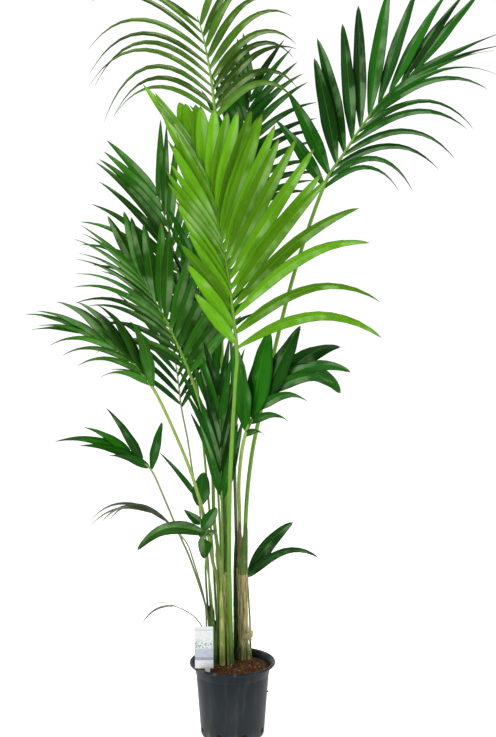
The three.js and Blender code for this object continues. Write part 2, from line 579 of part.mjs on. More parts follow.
function buildPalm() {
  const palm = new THREE.Group();
  const fronds = FRONDS.map((frond, i) => prepareFrond(frond, i + 1));
  const sockets = wasm.Manifold.union(fronds.map((frond) => toSolid(ribTube(frond, CLEARANCE))));
  const label = labelSolid();
  const labelSlot = label.translate([0, -CLEARANCE, 0]).add(label.translate([0, CLEARANCE, 0])).add(label);

  palm.add(piece("pot", potSolid(), 0x23272b, 0.55));
  palm.add(piece("label", label, 0xe9ece8, 0.4));
  let soil = soilSolid().subtract(sockets).subtract(labelSlot);
  const standing = [{ owner: "label", shape: triangleList(toGeometry(label)) }];
  for (const stem of STEMS) {
    const body = stemBody(stem);
    soil = soil.subtract(stemBody(stem, CLEARANCE));
    standing.push({ owner: stem.name, shape: triangleList(toGeometry(body)) });
    palm.add(piece(stem.name, body.subtract(sockets), stem.colour, 0.8));
  }
  palm.add(piece("soil", soil, 0x4a2c1b, 0.95));

  for (const frond of fronds) {
    standing.push({ owner: frond.name, shape: triangleList(ribTube(frond, CLEARANCE)) });
  }
  for (const frond of fronds) {
    const plans = growLeaflets(frond, standing);
    palm.add(piece(frond.name, frondSolid(frond, plans), frond.colour, 0.5));
  }
  return palm;
}

export default buildPalm();
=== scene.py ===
"""A potted kentia palm: moulded nursery pot, peat, plant label, fibrous stems and feather-shaped fronds.

Lengths in the tables are millimetres, +Z is up and the origin is the centre of the pot's base.
Every piece is a set of skins over rings of points, which numpy works out as whole arrays.
"""
import math
from collections import namedtuple

import bpy
import numpy as np
from bpy.props import FloatProperty, FloatVectorProperty, IntProperty, PointerProperty
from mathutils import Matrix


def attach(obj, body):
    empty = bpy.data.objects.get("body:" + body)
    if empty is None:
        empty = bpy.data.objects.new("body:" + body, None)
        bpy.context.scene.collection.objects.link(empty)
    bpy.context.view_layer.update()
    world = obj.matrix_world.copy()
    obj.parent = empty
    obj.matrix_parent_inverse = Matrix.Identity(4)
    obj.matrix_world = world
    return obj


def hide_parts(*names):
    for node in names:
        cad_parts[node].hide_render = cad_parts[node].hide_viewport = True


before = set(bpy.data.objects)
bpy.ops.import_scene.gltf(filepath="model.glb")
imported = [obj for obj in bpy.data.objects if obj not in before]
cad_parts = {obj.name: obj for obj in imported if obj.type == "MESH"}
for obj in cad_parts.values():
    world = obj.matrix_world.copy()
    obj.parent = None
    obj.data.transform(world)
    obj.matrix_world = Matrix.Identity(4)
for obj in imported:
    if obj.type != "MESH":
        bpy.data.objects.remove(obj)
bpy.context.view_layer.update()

bl_info = {
    "name": "Potted Kentia Palm",
    "version": (1, 0, 0),
    "blender": (4, 5, 0),
    "location": "3D View > Sidebar > Palm",
    "description": "Builds a kentia palm in its nursery pot, piece by piece",
    "category": "Add Mesh",
}

# Metres in a millimetre.
MM = 0.001
UP = np.array([0.0, 0.0, 1.0])
TAU = 2 * math.pi

# ---- sizes, as in the solids ----

POT_HEIGHT, POT_BASE, POT_TOP, POT_WALL, POT_FLOOR = 175, 78, 92, 1.8, 3
RIM_RADIUS, RIM_DEPTH, SHOULDER = 105, 6.5, 163
STEP_HEIGHT, STEP_OUT = 146, 1.2
DRAIN_HOLES, DRAIN_LOW, DRAIN_HIGH = 8, 9, 21
SOIL_TOP, SOIL_MOUND, SOIL_BUMP = 159, 4, 1.6
CLEARANCE = 0.4

LABEL_WIDTH, LABEL_HEIGHT, LABEL_THICKNESS, LABEL_CORNER = 44, 105, 0.9, 4
STAKE_WIDTH, STAKE_SHIFT, STAKE_DEPTH, STAKE_TIP = 12, 8, 48, 0.4
LABEL_BOTTOM = (-66.5, -62.5, 176.6)
LABEL_LEAN = 8

# A stem's radius at its foot, middle and top, and how many loose fibres and wrapped leaf bases it has.
Stem = namedtuple("Stem", "name radius route finish slot fibres tongues")
STEMS = (
    Stem("stem_right", (13, 11.2, 12.2), [(27, 50, 120), (26, 50, 250), (24, 50, 392)],
         "trunk", "stem_fibre", 150, 0),
    Stem("stem_centre", (11.5, 11, 12), [(-10, 29, 120), (-13, 29, 250), (-19, 31, 385)],
         "sheath", "stem_sheath", 50, 5),
    Stem("stem_left", (8.5, 8, 8.2), [(-29, 66, 120), (-33, 71, 210), (-38, 77, 300)],
         "dark_sheath", "stem_dark", 24, 3),
    Stem("stem_far_left", (7.5, 7, 7.4), [(-46, 60, 120), (-50, 64, 200), (-57, 70, 290)],
         "dark_sheath", "stem_dark", 24, 3),
)
# Prop roots: how many, how far out, at what heights they start and end, and their radius there.
LEGS, LEG_OUT, LEG_TOP, LEG_FOOT, LEG_RADIUS = 6, 17, 222, 128, (4.4, 3)

# A frond is a petiole and rib along its route, with pairs of leaflets from the collar point on.
# radius: at the foot, the collar and the tip. face: where the blade's upper side looks. sky: how far that
# side turns up towards a leaflet's tip. A side's pairs of numbers hold at the first and the last pair of
# leaflets. spread: degrees between rib and leaflet. lift: degrees out of the blade. droop: bend down.
Side = namedtuple("Side", "spread lift droop length width")
Frond = namedtuple("Frond", "name pairs sky face radius collar right left route")
FRONDS = (
    Frond("frond_bright", pairs=11, sky=0.3, face=(-0.2, -1, 0),
          radius=(6.2, 4.6, 1.2), collar=5,
          right=Side(spread=(64, 6), lift=8, droop=(1.7, -3.4), length=(470, 140), width=(27, 42)),
          left=Side(spread=(34, 12), lift=36, droop=(0.1, 0), length=(190, 320), width=(30, 28)),
          route=[(-4, 8, 120), (-6, 4, 300), (-8, -12, 430), (-5, -46, 630), (8, -96, 850),
                 (12, -113, 935), (-6, -138, 1090), (-22, -150, 1180), (-44, -160, 1290),
                 (-72, -166, 1365), (-86, -168, 1395)]),
    Frond("frond_top", pairs=10, sky=0.9, face=(0.1, -1, 0),
          radius=(5, 4.6, 1.2), collar=6,
          right=Side(spread=(50, 34), lift=20, droop=(2, 0.6), length=(330, 230), width=(26, 20)),
          left=Side(spread=(54, 42), lift=24, droop=(3, 1.3), length=(400, 370), width=(20, 16)),
          route=[(-13.5, 35, 335), (-17, 41, 470), (-20, 45, 640), (-26, 58, 850), (-34, 92, 1180),
                 (-36, 112, 1385), (-46, 116, 1540), (-60, 118, 1660), (-80, 118, 1760),
                 (-94, 116, 1805)]),
    Frond("frond_right", pairs=11, sky=0.8, face=(-0.15, -1, 0.2),
          radius=(5.4, 4.6, 1.2), collar=5,
          right=Side(spread=(34, 12), lift=22, droop=(2.8, 0), length=(300, 330), width=(16, 24)),
          left=Side(spread=(56, 12), lift=16, droop=(0.45, 0.3), length=(250, 350), width=(28, 24)),
          route=[(29.5, 47, 340), (32, 40, 510), (43, 28, 644), (66, 22, 770), (142, 20, 1090),
                 (222, 18, 1334), (276, 14, 1425), (358, 8, 1542), (424, 2, 1603), (462, -6, 1632)]),
    Frond("frond_back_top", pairs=13, sky=0.6, face=(0.35, -1, 0),
          radius=(4.4, 4, 1.2), collar=5,
          right=Side(spread=(52, 22), lift=16, droop=(0.87, 0.23), length=(300, 210), width=(23, 21)),
          left=Side(spread=(50, 24), lift=22, droop=(0.58, 0.15), length=(250, 175), width=(23, 21)),
          route=[(9, 70, 120), (9, 72, 400), (4, 88, 620), (-2, 120, 850), (-12, 170, 1130),
                 (-12, 190, 1280), (4, 196, 1400), (22, 200, 1500), (38, 204, 1590), (50, 206, 1670)]),
    Frond("frond_mid_right", pairs=5, sky=0.6, face=(-0.3, -1, 0.3),
          radius=(4.8, 4.4, 1.3), collar=3,
          right=Side(spread=(36, 16), lift=20, droop=(1.4, 0.8), length=(90, 250), width=(14, 30)),
          left=Side(spread=(38, -26), lift=14, droop=(-2, 2.2), length=(255, 175), width=(42, 28)),
          route=[(18, 53, 340), (17, 40, 508), (16, -6, 619), (30, -66, 728), (62, -84, 795),
                 (101, -96, 853), (136, -104, 887)]),
    Frond("frond_upper_left", pairs=10, sky=0.5, face=(0.3, -1, 0.2),
          radius=(3.2, 3, 1.1), collar=5,
          right=Side(spread=(40, 14), lift=22, droop=(0.15, 0.05), length=(290, 260), width=(22, 26)),
          left=Side(spread=(46, 22), lift=18, droop=(0.85, 0.3), length=(350, 235), width=(18, 30)),
          route=[(-41.5, 79, 250), (-51, 80, 403), (-61, 90, 529), (-78, 100, 708), (-92, 104, 840),
                 (-111, 104, 991), (-134, 102, 1094), (-160, 100, 1223), (-186, 96, 1315),
                 (-200, 92, 1355)]),
    Frond("frond_left", pairs=12, sky=0.6, face=(0.3, -1, 0.3),
          radius=(5, 4, 1.1), collar=5,
          right=Side(spread=(64, 4), lift=22, droop=(0.15, 0.05), length=(230, 195), width=(22, 22)),
          left=Side(spread=(40, 14), lift=20, droop=(1.3, 0.35), length=(290, 220), width=(15, 16)),
          route=[(-24, 27, 335), (-34, 30, 420), (-46, 18, 520), (-52, -4, 700), (-79, -16, 808),
                 (-104, -18, 880), (-146, -20, 977), (-178, -22, 1037), (-214, -22, 1100),
                 (-240, -20, 1140)]),
    Frond("frond_far_left", pairs=6, sky=0.8, face=(0.2, -0.9, 0.7),
          radius=(4.6, 3.6, 1.1), collar=6,
          right=Side(spread=(24, 0), lift=10, droop=(1, 0.4), length=(215, 195), width=(38, 24)),
          left=Side(spread=(30, 4), lift=6, droop=(1.4, 0.6), length=(165, 165), width=(13, 16)),
          route=[(-36, 24, 120), (-36, 22, 340), (-50, 8, 419), (-63, -20, 507), (-92, -55, 623),
                 (-128, -82, 723), (-181, -118, 843), (-238, -132, 914), (-306, -134, 965),
                 (-352, -132, 982)]),
    Frond("frond_low_left", pairs=3, sky=0.7, face=(0.2, -1, 0.5),
          radius=(3, 2.4, 1), collar=6,
          right=Side(spread=(44, -8), lift=16, droop=(0.58, 0.46), length=(95, 200), width=(24, 22)),
          left=Side(spread=(26, 2), lift=10, droop=(0.72, 0.58), length=(100, 210), width=(24, 22)),
          route=[(-51, 39, 120), (-59, 45, 230), (-69, 52, 295), (-106, 40, 412), (-129, 10, 476),
                 (-175, -34, 602), (-192, -54, 645), (-212, -58, 668), (-242, -62, 690),
                 (-270, -64, 706)]),
    Frond("frond_low_right", pairs=1, sky=0.1, face=(-0.2, -1, 0.2),
          radius=(2.6, 2, 1.4), collar=2,
          right=Side(spread=(44, 44), lift=4, droop=(1.1, 1.1), length=(232, 232), width=(32, 32)),
          left=Side(spread=(-30, -30), lift=0, droop=(0.4, 0.4), length=(182, 182), width=(41, 41)),
          route=[(45, 66, 120), (43, 67, 250), (37, 62, 361), (40, 60, 385)]),
    Frond("frond_low_front", pairs=1, sky=0.3, face=(0, -1, 0.6),
          radius=(3, 2.4, 1.6), collar=4,
          right=Side(spread=(10, 10), lift=60, droop=(7, 7), length=(124, 124), width=(46, 46)),
          left=Side(spread=(6, 6), lift=0, droop=(1.6, 1.6), length=(185, 185), width=(36, 36)),
          route=[(-60, 67.5, 240), (-66, 58, 320), (-68, 30, 400), (-60, -6, 440), (-52, -54, 486),
                 (-70, -62, 499)]),
    Frond("frond_arch_left", pairs=2, sky=0.8, face=(0.2, -0.4, 1),
          radius=(2.2, 1.8, 0.9), collar=5,
          right=Side(spread=(-6, -12), lift=0, droop=(1.9, 1.5), length=(225, 185), width=(13, 12)),
          left=Side(spread=(16, 10), lift=0, droop=(1.9, 1.04), length=(225, 185), width=(13, 12)),
          route=[(-61, 48, 120), (-67, 66, 220), (-73, 80, 300), (-102, 74, 405), (-119, 62, 453),
                 (-155, 40, 499), (-176, 38, 520), (-200, 36, 534)]),
    Frond("frond_lowest_left", pairs=1, sky=0.8, face=(0, -0.3, 1),
          radius=(1.8, 1.3, 0.9), collar=3,
          right=Side(spread=(10, 10), lift=0, droop=(2.32, 0.88), length=(90, 90), width=(8, 8)),
          left=Side(spread=(10, 10), lift=0, droop=(2.9, 1.1), length=(96, 96), width=(8, 8)),
          route=[(-62, 26, 120), (-68, 22, 225), (-92, -16, 285), (-138, -40, 318), (-150, -42, 316)]),
    Frond("frond_small_fork", pairs=2, sky=0.4, face=(0.2, -1, 0.2),
          radius=(2.8, 2.2, 1), collar=3,
          right=Side(spread=(42, -12), lift=20, droop=(0, 0.6), length=(98, 84), width=(22, 46)),
          left=Side(spread=(44, 28), lift=8, droop=(0, 0.35), length=(16, 228), width=(25, 7)),
          route=[(-46, 8, 120), (-50, 2, 300), (-62, -12, 410), (-74, -20, 490), (-80, -20, 550),
                 (-86, -20, 610)]),
    Frond("frond_inner_low", pairs=5, sky=0.4, face=(0.1, -1, 0.1),
          radius=(3.6, 2.8, 1), collar=3,
          right=Side(spread=(15, 10), lift=18, droop=(0.1, 0.04), length=(240, 170), width=(21, 18)),
          left=Side(spread=(18, 12), lift=24, droop=(0.2, 0.1), length=(240, 170), width=(21, 18)),
          route=[(-24, 6, 120), (-25, 2, 300), (-24, -8, 450), (-26, -20, 560), (-28, -26, 660),
                 (-30, -30, 760), (-34, -32, 860)]),
    Frond("frond_centre", pairs=11, sky=0.4, face=(-0.1, -1, 0.1),
          radius=(4.6, 3.8, 1.1), collar=2,
          right=Side(spread=(15, 13), lift=20, droop=(0.07, 0.02), length=(250, 180), width=(18, 16)),
          left=Side(spread=(20, 16), lift=24, droop=(0.22, 0.07), length=(260, 190), width=(18, 16)),
          route=[(-18, 55, 120), (-20, 60, 400), (-17, 70, 572), (-31, 70, 720), (-50, 68, 888),
                 (-68, 60, 989), (-84, 52, 1090), (-102, 44, 1200)]),
    Frond("frond_rear_left", pairs=8, sky=0.6, face=(0.1, -1, 0.1),
          radius=(2.4, 2.2, 1), collar=6,
          right=Side(spread=(40, 22), lift=20, droop=(0.43, 0.13), length=(230, 184), width=(15, 14)),
          left=Side(spread=(40, 20), lift=20, droop=(0.87, 0.26), length=(280, 224), width=(15, 14)),
          route=[(-53.5, 71.5, 240), (-60, 75, 320), (-64, 78, 405), (-78, 102, 502), (-102, 122, 600),
                 (-120, 140, 705), (-137, 150, 787), (-146, 152, 860), (-158, 152, 940),
                 (-174, 152, 1020)]),
    Frond("frond_rear", pairs=9, sky=0.6, face=(0, -0.7, 1),
          radius=(3.2, 3, 1.1), collar=4,
          right=Side(spread=(50, 24), lift=14, droop=(0.72, 0.22), length=(220, 176), width=(23, 21)),
          left=Side(spread=(50, 24), lift=16, droop=(1.16, 0.35), length=(240, 192), width=(23, 21)),
          route=[(-34, 75.5, 250), (-32, 98, 420), (-44, 150, 620), (-62, 215, 820), (-74, 265, 950),
                 (-84, 330, 1060), (-92, 400, 1150), (-96, 490, 1215)]),
)

# Leaf and stalk finish of each frond; the others are dark leaves on green stalks.
LEAF = {"frond_bright": "leaf_bright", "frond_top": "leaf_olive", "frond_upper_left": "leaf_mid",
        "frond_left": "leaf_mid", "frond_far_left": "leaf_mid", "frond_low_front": "leaf_mid",
        "frond_arch_left": "leaf_grey", "frond_lowest_left": "leaf_grey"}
STALK = {"frond_bright": "stalk_fresh", "frond_mid_right": "stalk_yellow", "frond_right": "stalk_fresh",
         "frond_far_left": "stalk_yellow", "frond_low_left": "stalk_grey", "frond_left": "stalk_green",
         "frond_back_top": "stalk_dark", "frond_rear_left": "stalk_grey", "frond_arch_left": "stalk_grey",
         "frond_lowest_left": "stalk_grey", "frond_low_right": "sheath"}

# Fronds that have a second row of leaflets between those of the solids, from that pair on.
FULL = {"frond_bright": 2}
# How broad leaflets are here for their width in the solids, which keep room between them: right, left.
BREADTH = {"frond_mid_right": (1.2, 1.75), "frond_small_fork": (1.25, 1.25), "frond_far_left": (1.15, 1.3),
           "frond_left": (1.4, 1.0), "frond_right": (1.0, 1.4), "frond_top": (0.95, 0.75),
           "frond_centre": (1.25, 1.25), "frond_inner_low": (1.2, 1.2), "frond_back_top": (1.1, 1.15),
           "frond_low_right": (0.9, 0.9), "frond_low_left": (1.25, 1)}
# How long they are for their length there: first and last on the right, first and last on the left.
REACH = {"frond_bright": (1, 1, 1, 0.72), "frond_low_left": (1.4, 0.8, 1, 1)}
# Leaf bases wrapped round petioles: frond, top as a share of the route, millimetres off the petiole,
# direction and width in radians, finish.
BASES = (
    ("frond_bright", 0.07, 1.2, 5.2, 2.6, "leaf_base"), ("frond_bright", 0.12, 1.8, 3.6, 1.3, "sheath"),
    ("frond_top", 0.16, 3.4, 4.2, 3.4, "leaf_base"), ("frond_centre", 0.30, 4.2, 4.6, 3.6, "leaf_base"),
    ("frond_inner_low", 0.34, 2.6, 4.2, 3.2, "sheath"), ("frond_far_left", 0.20, 2.0, 4.9, 3.0, "leaf_base"),
    ("frond_back_top", 0.24, 3.2, 4.7, 3.6, "leaf_base"), ("frond_left", 0.14, 3.0, 4.4, 3.2, "sheath"),
    ("frond_small_fork", 0.40, 1.4, 4.7, 3.0, "leaf_base"),
    ("frond_low_left", 0.16, 1.2, 4.7, 3.0, "leaf_base"),
)

# The leaflet formula's constants, as in the solids: steps along it, least height of its fold, tilt in
# degrees, crowding towards the rib's tip, the last place on the rib, and where the right and the left leaflet
# stand in the space of a pair.
STEPS, LEAST_RIDGE, TILT, CROWD, LAST_PLACE, PAIR_OFFSET = 24, 0.9, 22, 1.1, 0.985, (0.15, 0.45)
# The spiral of turns that the solids try: how many, its width in degrees of spread, lift for spread, and
# the radians from one to the next.
TRIES, TURN_REACH, LIFT_REACH, GOLDEN_ANGLE = 70, 3.2, 1.6, 2.4
# The width that makes a leaflet a broad one. Outlines of slim and of broad leaflets: share of the width at
# the root, where the blade is full, how its end falls, and its belly.
BROAD, SLIM_OUTLINE, BROAD_OUTLINE = 29, (0.35, 0.3, 0.8, 0.8), (0.2, 0.45, 0.6, 0.9)
# Millimetres between the rings of a petiole, and between a leaflet's tip here and in the solids at most.
STALK_GAP, TIP_GAP = 9, 0.08
# The steps at which a leaflet has a cross-section here, the places of its corners across it from edge to edge
# and back, and which of them lie on its underside.
STATIONS = np.array([0, 1, 2, 4, 6, 8, 10, 12, 14, 16, 18, 20, 22, 23])
ACROSS = np.array([1, 0.5, 0, -0.5, -1, -0.5, 0, 0.5])
UNDERSIDE = np.array([0, 0, 0, 0, 0, 1, 1, 1])

# ---- arithmetic ----

def mix(a, b, share):
    """The value at that share of the way from a to b."""
    return a + (b - a) * share


def unit(v):
    return v / np.maximum(np.linalg.norm(v, axis=-1, keepdims=True), 1e-12)


def dot(a, b):
    return np.sum(a * b, axis=-1, keepdims=True)


def draw(seed, k):
    """Repeatable draws from -0.5 to 0.5: the fraction in 43758.5453 sin(12.9898 seed + 78.233 k) less 0.5."""
    x = np.sin(np.asarray(seed) * 12.9898 + np.asarray(k) * 78.233) * 43758.5453
    return x - np.floor(x) - 0.5


def chance(seed, k):
    """Repeatable draws from 0 to 1."""
    return draw(seed, k) + 0.5


def shade(colour, factor):
    """The colour made darker or lighter."""
    return tuple(min(1.0, channel * factor) for channel in colour)


def relief(x, y, seed):
    """Smooth noise from -0.5 to 0.5 over a plane: a draw at each whole x and y, and S-curves between them."""
    column, row = np.floor(x), np.floor(y)
    u, v = x - column, y - row
    u, v = u * u * (3 - 2 * u), v * v * (3 - 2 * v)

    def corner(i, j):
        return draw(seed, (column + i) * 57.31 + (row + j) * 131.17)

    return mix(mix(corner(0, 0), corner(1, 0), u), mix(corner(0, 1), corner(1, 1), u), v)


def ring_angles(sides):
    """Angles once round, in equal steps."""
    return TAU * np.arange(sides) / sides


def with_ends(values):
    """The values with the first and the last one twice, for the two points that close a stack of rings."""
    return np.concatenate([values[:1], values, values[-1:]])


def radius_at(radius, middle, share):
    """Straight between the radius at the foot, at the share in the middle and at the tip."""
    return np.interp(share, [0, middle, 1], radius)


class Route:
    """A smooth line through points: a Catmull-Rom spline of tension 0.5, walked by shares of its length."""

    DIVISIONS = 400
    NUDGE = 0.0001

    def __init__(self, points):
        points = np.array(points, float)
        self.knots = np.vstack([2 * points[0] - points[1], points, 2 * points[-1] - points[-2]])
        self.spans = len(points) - 1
        self.steps = np.linspace(0, 1, self.DIVISIONS + 1)
        travelled = np.linalg.norm(np.diff(self.spline(self.steps), axis=0), axis=-1)
        self.arc = np.concatenate([[0], np.cumsum(travelled)])
        self.length = self.arc[-1]

    def spline(self, t):
        """Cubic between two points, whose slope at each is half the way between its neighbours."""
        t = np.clip(t, 0, 1) * self.spans
        span = np.minimum(t.astype(int), self.spans - 1)
        w = (t - span)[..., None]
        before, start, end, after = (self.knots[span + i] for i in range(4))
        leave, arrive = 0.5 * (end - before), 0.5 * (after - start)
        return ((2 * start - 2 * end + leave + arrive) * w ** 3
                + (-3 * start + 3 * end - 2 * leave - arrive) * w ** 2 + leave * w + start)

    def step_at(self, share):
        return np.interp(np.asarray(share, float) * self.length, self.arc, self.steps)

    def point(self, share):
        return self.spline(self.step_at(share))

    def tangent(self, share):
        step = self.step_at(share)
        return unit(self.spline(step + self.NUDGE) - self.spline(step - self.NUDGE))

    def share_of(self, index):
        """Share of the length at which point number index lies."""
        return np.interp(index / self.spans, self.steps, self.arc) / self.length

    def cross_frame(self, share, face):
        """Directions along the route, out towards the face and across."""
        along = self.tangent(share)
        out = unit(face - dot(along, face) * along)
        return along, out, np.cross(along, out)

    def spokes(self, share, face, angle):
        """Directions square to the route: across it at no angle, and away from the face at a quarter turn."""
        _, out, across = self.cross_frame(share, face)
        return across * np.cos(angle)[..., None] - out * np.sin(angle)[..., None]


# ---- skins and pieces ----

Part = namedtuple("Part", "points corners sizes uvs tones finish")


def corner_sets(*corners):
    """The corners of each face side by side."""
    return np.stack(np.broadcast_arrays(*corners), -1)


def flat(*arrays):
    """All the numbers of the arrays in one row."""
    return np.concatenate([np.ravel(array) for array in arrays])


def skins(rings, first, last, along, tones, finish, around=None):
    """Closed skins over N stacks of R rings of S points, each counter-clockwise about the way up its stack.

    The points first and last close the ends. along holds the R + 2 places up the UV map from the first point
    to the last, tones one number for each stack or each point of a stack, and around the S + 1 places across
    the UV map, which are even ones unless they are given.
    """
    stacks, high, sides, _ = rings.shape
    count = high * sides + 2
    points = np.concatenate([rings.reshape(stacks, -1, 3), first[:, None], last[:, None]], axis=1)
    low, here = sides * np.arange(high - 1)[:, None], np.arange(sides)
    up, after = low + sides, (here + 1) % sides
    top = (high - 1) * sides
    corners = flat(corner_sets(low + here, low + after, up + after, up + here),
                   corner_sets(after, here, count - 2), corner_sets(top + here, top + after, count - 1))
    corners = corners + count * np.arange(stacks)[:, None]
    sizes = np.repeat([4, 3], [(high - 1) * sides, 2 * sides])

    around = np.arange(sides + 1) / sides if around is None else around
    left, right, middle = around[:-1], around[1:], (around[:-1] + around[1:]) / 2
    u = flat(np.tile(corner_sets(left, right, right, left), (high - 1, 1)),
             corner_sets(right, left, middle), corner_sets(left, right, middle))
    low, up = along[1:-2], along[2:-1]
    v = flat(np.repeat(corner_sets(low, low, up, up), sides, axis=0),
             np.tile(along[[1, 1, 0]], sides), np.tile(along[[-2, -2, -1]], sides))
    tones = np.broadcast_to(np.asarray(tones, float).reshape(stacks, -1), (stacks, count))
    return Part(points.reshape(-1, 3), corners.reshape(-1), np.tile(sizes, stacks),
                np.tile(np.stack([u, v], -1), (stacks, 1)), tones.reshape(-1), finish)


def plate(front, back, along, tone, finish):
    """A skin round two sheets of points, rows up and columns across, closed at the middle of its end rows."""
    rings = np.concatenate([front, back[:, ::-1]], axis=1)[None]
    place = np.linspace(0, 1, front.shape[1])
    return skins(rings, rings[:, 0].mean(axis=1), rings[:, -1].mean(axis=1), along, tone, finish,
                 around=np.concatenate([place, place[::-1], [0]]))


def tube(route, shares, radius, face, sides, tones, finish, section):
    """A tube about a route, with rings at the shares. section scales the radius at each angle of a ring."""
    share, angle = shares[:, None], ring_angles(sides)
    reach = radius[:, None] * section(share, angle)
    rings = route.point(share) + route.spokes(share, face, angle) * reach[..., None]
    centre = route.point(shares)
    tones = np.broadcast_to(tones, shares.shape)
    point_tones = np.concatenate([np.repeat(tones, sides), tones[[0, -1]]])
    metres = with_ends(shares * route.length * MM)
    return skins(rings[None], centre[:1], centre[-1:], metres, point_tones, finish)


def make_piece(name, parts, materials, node, crease=55):
    """One mesh object in place of a CAD node, from parts whose finish is a key of materials."""
    used = sorted({part.finish for part in parts})
    mesh = bpy.data.meshes.new(name)
    points = np.concatenate([part.points for part in parts]) * MM
    starts = np.cumsum([0] + [len(part.points) for part in parts[:-1]])
    corners = np.concatenate([part.corners + start for part, start in zip(parts, starts)])
    sizes = np.concatenate([part.sizes for part in parts])
    finishes = np.repeat([used.index(part.finish) for part in parts], [len(part.sizes) for part in parts])
    mesh.vertices.add(len(points))
    mesh.vertices.foreach_set("co", points.astype(np.float32).reshape(-1))
    mesh.loops.add(len(corners))
    mesh.loops.foreach_set("vertex_index", corners.astype(np.int32))
    mesh.polygons.add(len(sizes))
    mesh.polygons.foreach_set("loop_start", np.cumsum(sizes, dtype=np.int32) - sizes.astype(np.int32))
    mesh.polygons.foreach_set("material_index", finishes.astype(np.int32))
    mesh.polygons.foreach_set("use_smooth", np.ones(len(sizes), bool))
    layer = mesh.uv_layers.new(name="UVMap")
    layer.data.foreach_set("uv", np.concatenate([part.uvs for part in parts]).astype(np.float32).reshape(-1))
    tone = mesh.attributes.new("tone", "FLOAT", "POINT")
    tone.data.foreach_set("value", np.concatenate([part.tones for part in parts]).astype(np.float32))
    mesh.update(calc_edges=True)
    if mesh.validate():
        raise ValueError(f"the mesh of {name} has faces that can't be")
    mesh.set_sharp_from_angle(angle=math.radians(crease))
    for finish in used:
        mesh.materials.append(materials[finish])
    piece = bpy.data.objects.new(name, mesh)
    bpy.context.scene.collection.objects.link(piece)
    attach(piece, "root")
    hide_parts(node)


# ---- materials ----

class Finish:
    """A new material and short calls that add nodes to it. A socket takes a number, a colour or a socket."""

    def __init__(self, name):
        self.material = bpy.data.materials.new(name)
        self.material.use_nodes = True
        self.nodes = self.material.node_tree.nodes
        self.links = self.material.node_tree.links
        self.nodes.clear()

    def add(self, kind, inputs=None, **settings):
        node = self.nodes.new("ShaderNode" + kind)
        for name, value in settings.items():
            setattr(node, name, value)
        for name, value in (inputs or {}).items():
            if isinstance(value, bpy.types.NodeSocket):
                self.links.new(value, node.inputs[name])
            elif value is not None:
                node.inputs[name].default_value = value
        return node

    def math(self, operation, a, b=0.0, clamp=False):
        return self.add("Math", {0: a, 1: b}, operation=operation, use_clamp=clamp).outputs[0]

    def plus(self, a, b, clamp=False):
        return self.math("ADD", a, b, clamp)

    def times(self, a, b, clamp=False):
        return self.math("MULTIPLY", a, b, clamp)

    def band(self, value, low, high, ends=(0.0, 1.0)):
        """value's place between low and high as a smooth step from the first end to the second."""
        inputs = {"Value": value, "From Min": low, "From Max": high, "To Min": ends[0], "To Max": ends[1]}
        return self.add("MapRange", inputs, interpolation_type="SMOOTHSTEP").outputs["Result"]

    def stripe(self, value, start, full, last, end):
        """One between full and last, falling off to nothing at start and at end."""
        return self.times(self.band(value, start, full), self.band(value, end, last))

    def mix(self, share, a, b):
        node = self.add("Mix", {"Factor": share}, data_type="RGBA")
        for socket, value in ((node.inputs[6], a), (node.inputs[7], b)):
            if isinstance(value, bpy.types.NodeSocket):
                self.links.new(value, socket)
            else:
                socket.default_value = (*value[:3], 1)
        return node.outputs[2]

    def layered(self, body, *layers):
        """Colours laid over the body in turn, each with the share of it that it covers."""
        for share, colour in layers:
            body = self.mix(share, body, colour)
        return body

    def place(self):
        return self.add("TexCoord").outputs["Object"]

    def uv(self):
        return self.add("UVMap", uv_map="UVMap").outputs[0]

    def parts(self, vector):
        return tuple(self.add("SeparateXYZ", {0: vector}).outputs)

    def from_middle(self, x):
        return self.math("ABSOLUTE", self.math("SUBTRACT", x, 0.5))

    def stretched(self, vector, scale):
        return self.add("Mapping", {"Vector": vector, "Scale": scale}).outputs[0]

    def noise(self, vector, scale, detail=3.0, roughness=0.55):
        inputs = {"Vector": vector, "Scale": scale, "Detail": detail, "Roughness": roughness}
        return self.add("TexNoise", inputs).outputs["Fac"]

    def long_noise(self, vector, stretch, scale, detail=3.0, roughness=0.55):
        """Noise drawn out upwards: stretch is its scale that way for its scale across."""
        return self.noise(self.stretched(vector, (1.0, 1.0, stretch)), scale, detail, roughness)

    def tone(self):
        return self.add("Attribute", attribute_name="tone").outputs["Fac"]

    def bump(self, height, depth, strength):
        return self.add("Bump", {"Height": height, "Distance": depth, "Strength": strength}).outputs[0]

    def finish(self, colour, roughness, specular, bump=None, glow=0.0, translucent=None, through=0.0):
        surface = self.add("BsdfPrincipled", {"Base Color": colour, "Roughness": roughness,
                                              "Specular IOR Level": specular, "Normal": bump,
                                              "Emission Color": (1, 1, 1, 1), "Emission Strength": glow})
        shader = surface.outputs[0]
        if translucent is not None:
            behind = self.add("BsdfTranslucent", {"Color": translucent, "Normal": bump})
            shader = self.add("MixShader", {0: through, 1: shader, 2: behind.outputs[0]}).outputs[0]
        self.add("OutputMaterial", {"Surface": shader})
        return self.material


# Radians of the wave of veins across a leaflet.
VEIN_PHASE = 70.0
DRY_TIP, SCURF = (0.16, 0.11, 0.045), (0.09, 0.06, 0.03)


